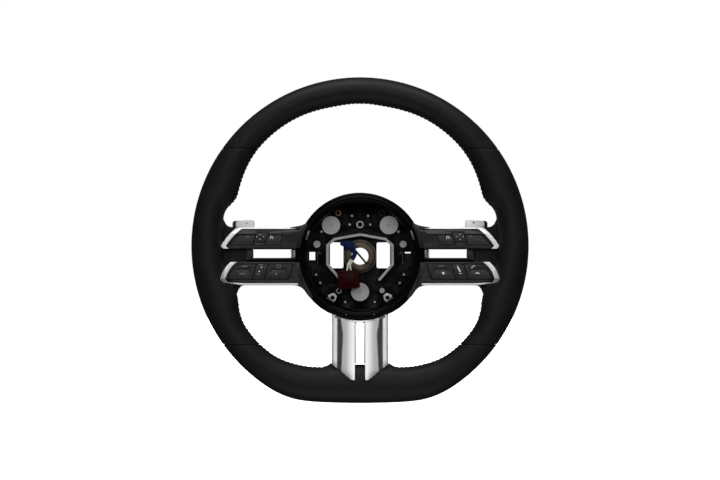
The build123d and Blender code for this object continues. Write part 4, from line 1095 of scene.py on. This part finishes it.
BLADE_FACE = (
    (5.5, 8.0), (7.5, 7.97), (9.5, 7.88), (11.5, 7.73), (13.5, 7.52), (15.2, 7.30), (16.6, 7.09),
)
BLADE_FLANGE = ((26.2, 2.98), (28.2, 2.81), (30.4, 2.60), (31.0, 1.9))
BLADE_BACK = (
    (31.0, -3.0), (28.6, -3.0), (28.6, -0.4), (24.6, 0.4), (19.0, 3.0), (7.9, 5.0), (7.9, -3.0),
    (5.5, -3.0), (5.5, 5.6),
)
CREASE_X = (18.0, 24.6, 25.4)
CREASE_SLOPE = 0.14
CREASE_LOW = 3.05
CREASE_STEPS = 12
CREASE_WIDTHS = (
    (0.0, 0.56), (0.16, 0.6), (0.22, 0.7), (0.28, 0.9), (0.34, 1.0), (0.42, 0.98), (0.54, 0.88),
    (0.68, 0.76), (0.82, 0.68), (1.0, 0.62),
)
BLADE_ROOT = (-58.0, 43.5)
BLADE_RUN = (-80.4, 22.5)
BLADE_SHOULDER = (31.0, -117.6)
BLADE_TIP = (9.3, -134.4)
SLOT_FRAME = (
    (5.6, -117.0), (5.6, -73.1), (5.3, -72.3), (4.5, -71.7), (-4.5, -71.7), (-5.3, -72.3),
    (-5.6, -73.1), (-5.6, -117.0), (-4.4, -117.0), (-4.4, -73.9), (-4.2, -73.2), (-3.6, -72.8),
    (3.6, -72.8), (4.2, -73.2), (4.4, -73.9), (4.4, -117.0),
)
COLLAR_REACH = (70.4, 71.9, 72.3)
COLLAR_SPREAD = 23.0
COLLAR_STEPS = 12
COLLAR_BACK, COLLAR_FRONT = 44.6, 56.2
COLLAR_CURVE = 0.0085
FRAME_DEPTH = (-4.0, -0.2)
RING_CLEAR = 70.6
SLOT_HALF, SLOT_TOP, SLOT_BOTTOM = 5.5, -71.8, -160.0
TIP_HALF = 12.0
CUT_REACH = (50.0, -170.0)
CUT_DEPTH = (20.0, 90.0)


class WHEEL_OT_lower_spoke(bpy.types.Operator):
    """Silver blades of the split lower spoke, their collar and the dark frame of their opening"""

    bl_idname = "wheel.lower_spoke"
    bl_label = "Lower spoke"

    def execute(self, context):
        blades = lofted("lower_spoke_silver", [self.section(along, width) for along, width in CREASE_WIDTHS])
        back, front = CUT_DEPTH
        beside, below = CUT_REACH
        shoulder = BLADE_SHOULDER[1]
        cut(blades, rod(0.0, 0.0, back, front, RING_CLEAR, 192))
        cut(blades, box((-SLOT_HALF, SLOT_BOTTOM, back), (SLOT_HALF, SLOT_TOP, front)))
        slope = (BLADE_TIP, BLADE_SHOULDER, (beside, shoulder), (beside, below), (BLADE_TIP[0], below))
        for sign in SIDES.values():
            cut(blades, prism(mirrored(slope, sign), back, front))
        cut(blades, box((-TIP_HALF, below, back), (TIP_HALF, BLADE_TIP[1], front)))
        soften(blades, sizes().blade_edge, segments=3, angle=36.0, smooth=24.0)
        dress(blades, "satin silver", nodes=("lower_spoke_trim",))
        steps = range(-COLLAR_STEPS, COLLAR_STEPS + 1)
        collar = lofted("lower_spoke_collar", [self.collar_section(step) for step in steps])
        smooth_shade(collar)
        dress(collar, "satin silver")
        finished_node("lower_spoke_liner", 0.0002, "matte black", "matte_black")
        lean = -BLADE_RUN[1] / BLADE_RUN[0]
        face = BLADE_ROOT[1] + BLADE_FACE[0][1] + lean * BLADE_ROOT[0]
        slot = prism(SLOT_FRAME, *(face + depth for depth in FRAME_DEPTH), lean)
        added_piece("lower_spoke_slot_frame", slot, 0.0002, "matte black")
        return {"FINISHED"}

    def section(self, along, width):
        """Outline across both blades, with the crease drawn in to a width."""
        start, fixed, stop = CREASE_X
        last, top = BLADE_FACE[-1]
        top -= CREASE_SLOPE * (fixed + (start - fixed) * width - last)
        crease = []
        for step in range(CREASE_STEPS + 1):
            part = step / CREASE_STEPS
            x = fixed + (start + (stop - start) * part - fixed) * width
            crease.append((x, top - (top - CREASE_LOW) * part * part * (3.0 - 2.0 * part)))
        right = BLADE_FACE + tuple(crease) + BLADE_FLANGE + BLADE_BACK
        outline = right + tuple((-x, z) for x, z in reversed(right))
        up, base = (root + run * along for root, run in zip(BLADE_ROOT, BLADE_RUN))
        return [place(x, up, base + z) for x, z in outline]

    def collar_section(self, step):
        """Outline of the collar at one place round the ring."""
        turn = math.radians(COLLAR_SPREAD * step / COLLAR_STEPS)
        near, crest, far = COLLAR_REACH
        front = COLLAR_FRONT - COLLAR_CURVE * (near * math.sin(turn)) ** 2
        face = ((near, front - 0.4), (crest, front), (far, front - 0.7))
        outline = ((near, COLLAR_BACK), *face, (far, COLLAR_BACK))
        return [place(reach * math.sin(turn), -reach * math.cos(turn), z) for reach, z in outline]


# Hub floor

SLOT_TAB = ((49.6, -4.6), (56.8, -4.6), (56.8, 3.3), (49.6, 3.3))
TAB_DEPTH = (10.6, 12.6)
BUSH_REACH = 18.7
MOUNT_REACH = 10.15
MOUNT_LEVEL = (-20.4, -19.6)
RIDGE_HALF = 40.0
RIDGE_ROW = (-28.0, 27.0)
RIDGE_LEVEL = -23.4
BOSS_LEVEL = -16.6
# Bosses and pips: place across and up, and reach; their mirror images count as well
BOSSES = (
    (48.0, 13.4, 4.0), (24.6, -38.2, 3.1), (-23.5, -38.5, 3.1), (0.0, 35.3, 4.2), (11.5, 35.3, 1.5),
    (48.8, -20.4, 1.5), (44.2, -29.6, 1.5), (16.3, -50.9, 1.5), (42.8, 27.4, 1.5), (9.0, 45.0, 1.5),
)


class WHEEL_OT_hub_floor(bpy.types.Operator):
    """Black casting with bare turned faces, its steel bush, threaded bushes, catches and springs"""

    bl_idname = "wheel.hub_floor"
    bl_label = "Hub floor"

    def execute(self, context):
        casting = from_node("armature", flatten=False)
        smooth_shade(casting)
        dress(casting, "casting", nodes=("armature",))
        set_faces(casting, "machined", self.on_mount)
        set_faces(casting, "bare edge", self.on_ridge)
        set_faces(casting, "bush", lambda spot, normal: normal.y < -0.5 and spot.xz.length < BUSH_REACH)
        finished_node("hub_insert", 0.0005, "bush", "hub_steel", segments=3)
        bushes = finished_node("threaded_inserts", 0.00025, "copper bush", "brass")
        set_faces(bushes, "matte black", lambda spot, normal: spot.x > 0.0)
        added_piece("right_slot_tab", prism(SLOT_TAB, *TAB_DEPTH), 0.0003, "matte black")
        for side in SIDES:
            finished_node(f"{side}_airbag_clip", 0.0002, "catch", "steel", segments=3)
            finished_node(f"{side}_retaining_spring", 0.0, "spring wire", "steel")
        return {"FINISHED"}

    def on_mount(self, spot, normal):
        """Front of the three mounting faces, in millimetres."""
        near = any(math.hypot(spot.x - x * 1000, spot.z - z * 1000) < MOUNT_REACH for x, z in MOUNT_FACES)
        return near and normal.y < -0.7 and MOUNT_LEVEL[0] < spot.y < MOUNT_LEVEL[1]

    def on_ridge(self, spot, normal):
        """Front of the raised frame and of the small bosses and pips."""
        if normal.y > -0.5:
            return False
        low, high = RIDGE_ROW
        if abs(spot.x) < RIDGE_HALF and low < spot.z < high and spot.y < RIDGE_LEVEL:
            return True
        spots = [(sign * x, z, reach) for x, z, reach in BOSSES for sign in SIDES.values()]
        raised = spot.y < BOSS_LEVEL
        return raised and any(math.hypot(spot.x - x, spot.z - z) < reach for x, z, reach in spots)


# Harness


class WHEEL_OT_harness(bpy.types.Operator):
    """Red and blue connectors with their leads"""

    bl_idname = "wheel.harness"
    bl_label = "Harness"

    def execute(self, context):
        finished_node("red_connector", 0.0005, "red", "red_plastic", segments=3)
        finished_node("blue_connector", 0.0005, "blue", "blue_plastic", segments=3)
        finished_node("blue_lead", 0.0, "blue", "blue_plastic")
        finished_node("white_leads", 0.0, "pale lead", "white_lead")
        finished_node("black_lead", 0.0, "dark lead", "black_lead")
        return {"FINISHED"}


# Shift paddles

# Marks of the paddles: kind, place across and up in the driver's view
PADDLE_MARKS = {"left": ("minus", -125.5, 36.9), "right": ("plus", 126.1, 37.4)}
PADDLE_MARK_SIZE = 3.4


class WHEEL_OT_paddles(bpy.types.Operator):
    """Silver-faced shift paddles with their brackets, pins and switches"""

    bl_idname = "wheel.paddles"
    bl_label = "Paddles"

    def execute(self, context):
        edge = sizes().paddle_edge
        for side in SIDES:
            body = f"{side}_paddle"
            finished_node(f"{side}_paddle_core", edge, "matte black", "matte_black", body, 3)
            # The paddle caps take the satin silver lightened 1.3 times, which is painted light
            finished_node(f"{side}_paddle_cap", edge, "paddle silver", "satin_silver", body, 3)
            finished_node(f"{side}_paddle_housing", 0.0005, "matte black", "matte_black")
            paint_node(f"{side}_paddle_pin", "zinc steel")
            paint_node(f"{side}_paddle_switch", "matte black")
            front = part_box(f"{side}_paddle_cap")[0].y
            mark = draw_mark(*PADDLE_MARKS[side], PADDLE_MARK_SIZE, 0, front, sizes().mark_height)
            mark.name = f"{side}_paddle_mark"
            dress(mark, "paddle mark", body)
        return {"FINISHED"}


# Back of the wheel

COVER_BACK = 2.0
COVER_REACH = 60.0
GAP_BLOCK = ((117.6, -1.6, 38.0), (125.0, 7.6, 47.4))
BESIDE_GAP = ((118.0, 126.0), (-6.0, 9.0))


class WHEEL_OT_rear_parts(bpy.types.Operator):
    """Rear cover, control unit and screws"""

    bl_idname = "wheel.rear_parts"
    bl_label = "Rear parts"

    def execute(self, context):
        rounding = {"width": sizes().cover_edge, "segments": 3, "where": self.on_back}
        cover = finished_node("rear_cover", look="matte black", slot="matte_black", **rounding)
        set_faces(cover, "key black", self.beside_gap)
        for side, sign in SIDES.items():
            low, high = ((sign * x, y, z) for x, y, z in GAP_BLOCK)
            added_piece(f"{side}_gap_block", box(low, high), 0.0008, "key black", 3)
        finished_node("control_module", 0.0008, "matte black", "matte_black", segments=3)
        finished_node("cover_screws", 0.0004, "zinc steel", "steel")
        finished_node("housing_screws", 0.0003, "zinc steel", "steel")
        return {"FINISHED"}

    def on_back(self, spot):
        """Back of the cover's bowl, in millimetres."""
        return spot.y > COVER_BACK and spot.xz.length < COVER_REACH

    def beside_gap(self, spot, normal):
        """Front of the solid block between the see-through gap and the leather, in millimetres."""
        (near, far), (low, high) = BESIDE_GAP
        return normal.y < -0.7 and near < abs(spot.x) < far and low < spot.z < high


# Stage

FLOOR_SIZE = 24.0
FLOOR_GAP = 0.0004
WORLD_LIGHT = 0.06
SENSOR_WIDTH = 36.0
CAMERA_LENS = 116.0
CAMERA_PLACE = (0.0, -2.6, 0.0181)
# Lamps: place, width, height, power, and whether they show in reflections
LAMPS = {
    "key_softbox": ((0.0, -2.9, 1.15), 1.3, 1.9, 16.0, True),
    "top_softbox": ((0.0, -0.35, 1.7), 1.8, 0.9, 18.0, True),
    "low_softbox": ((0.0, -0.75, -1.2), 1.6, 0.9, 4.0, True),
    "left_fill": ((-1.7, -2.2, 0.8), 1.0, 1.4, 26.0, False),
    "right_fill": ((1.7, -2.2, 0.8), 1.0, 1.4, 26.0, False),
    "back_fill": ((0.0, 2.4, 1.0), 1.6, 1.4, 110.0, False),
}


class WHEEL_OT_stage(bpy.types.Operator):
    """Pale floor, soft lights and the camera"""

    bl_idname = "wheel.stage"
    bl_label = "Stage"

    def execute(self, context):
        scene = context.scene
        self.backdrop()
        self.lights()
        data = bpy.data.cameras.new("camera")
        data.sensor_width = SENSOR_WIDTH
        data.lens = CAMERA_LENS
        data.clip_start = 0.05
        scene.camera = linked("camera", data)
        scene.camera.location = CAMERA_PLACE
        scene.camera.rotation_euler = FACING
        world = bpy.data.worlds.new("studio")
        world.use_nodes = True
        tree = world.node_tree
        seen = node(tree, "LightPath").outputs["Is Camera Ray"]
        tree.nodes["Background"].inputs["Color"].default_value = (1.0, 1.0, 1.0, 1.0)
        tree.links.new(spread(tree, seen, WORLD_LIGHT, 1.0), tree.nodes["Background"].inputs["Strength"])
        scene.world = world
        scene.view_settings.view_transform = "Standard"
        return {"FINISHED"}

    def backdrop(self):
        """Wide pale floor under the wheel."""
        bpy.ops.object.select_all(action="DESELECT")
        bpy.ops.mesh.primitive_plane_add(size=FLOOR_SIZE, location=(0.0, 0.0, CAD_BOX[0][2] - FLOOR_GAP))
        floor = settle(bpy.context.object)
        floor.name = "studio_floor"
        glow = {"Emission_Color": (1.0, 1.0, 1.0, 1.0), "Emission_Strength": 1.0}
        material, tree = new_finish("studio paper", Roughness=0.9, Specular_IOR_Level=0.1, **glow)
        tint(tree, colours().backdrop, use(tree, "Mottle", Scale=3.0, Fine=0.02)["Tone"], (0.985, 1.01))
        floor.data.materials.append(material)
        floor.visible_diffuse = False
        floor.visible_glossy = False
        floor.visible_shadow = False

    def lights(self):
        """Soft panels; the fill panels light the surfaces without showing in them."""
        for name, (spot, wide, high, power, mirror) in LAMPS.items():
            data = bpy.data.lights.new(name, "AREA")
            data.shape = "RECTANGLE"
            data.size, data.size_y = wide, high
            data.energy = power
            lamp = linked(name, data)
            lamp.location = spot
            lamp.rotation_euler = (-Vector(spot)).to_track_quat("-Z", "Y").to_euler()
            lamp.visible_glossy = mirror
            lamp.visible_camera = False


STEPS = (
    WHEEL_OT_stage,
    WHEEL_OT_leather_rim,
    WHEEL_OT_stitching,
    WHEEL_OT_hub_ring,
    WHEEL_OT_control_decks,
    WHEEL_OT_keys,
    WHEEL_OT_key_marks,
    WHEEL_OT_lower_spoke,
    WHEEL_OT_hub_floor,
    WHEEL_OT_harness,
    WHEEL_OT_paddles,
    WHEEL_OT_rear_parts,
)


class VIEW3D_PT_wheel(bpy.types.Panel):
    """Steps that dress the wheel"""

    bl_idname = "VIEW3D_PT_wheel"
    bl_label = "Steering wheel"
    bl_space_type = "VIEW_3D"
    bl_region_type = "UI"
    bl_category = "Wheel"

    def draw(self, context):
        for step in STEPS:
            self.layout.operator(step.bl_idname)
        for group in (context.scene.wheel_sizes, context.scene.wheel_colours):
            column = self.layout.column(align=True)
            for label in group.__annotations__:
                column.prop(group, label)


CLASSES = (WheelSizes, WheelColours, *STEPS, VIEW3D_PT_wheel)


def register():
    for item in CLASSES:
        bpy.utils.register_class(item)
    bpy.types.Scene.wheel_sizes = PointerProperty(type=WheelSizes)
    bpy.types.Scene.wheel_colours = PointerProperty(type=WheelColours)


def unregister():
    del bpy.types.Scene.wheel_colours
    del bpy.types.Scene.wheel_sizes
    for item in reversed(CLASSES):
        bpy.utils.unregister_class(item)


def main():
    register()
    for step in STEPS:
        family, name = step.bl_idname.split(".")
        getattr(getattr(bpy.ops, family), name)()


if __name__ == "__main__":
    main()
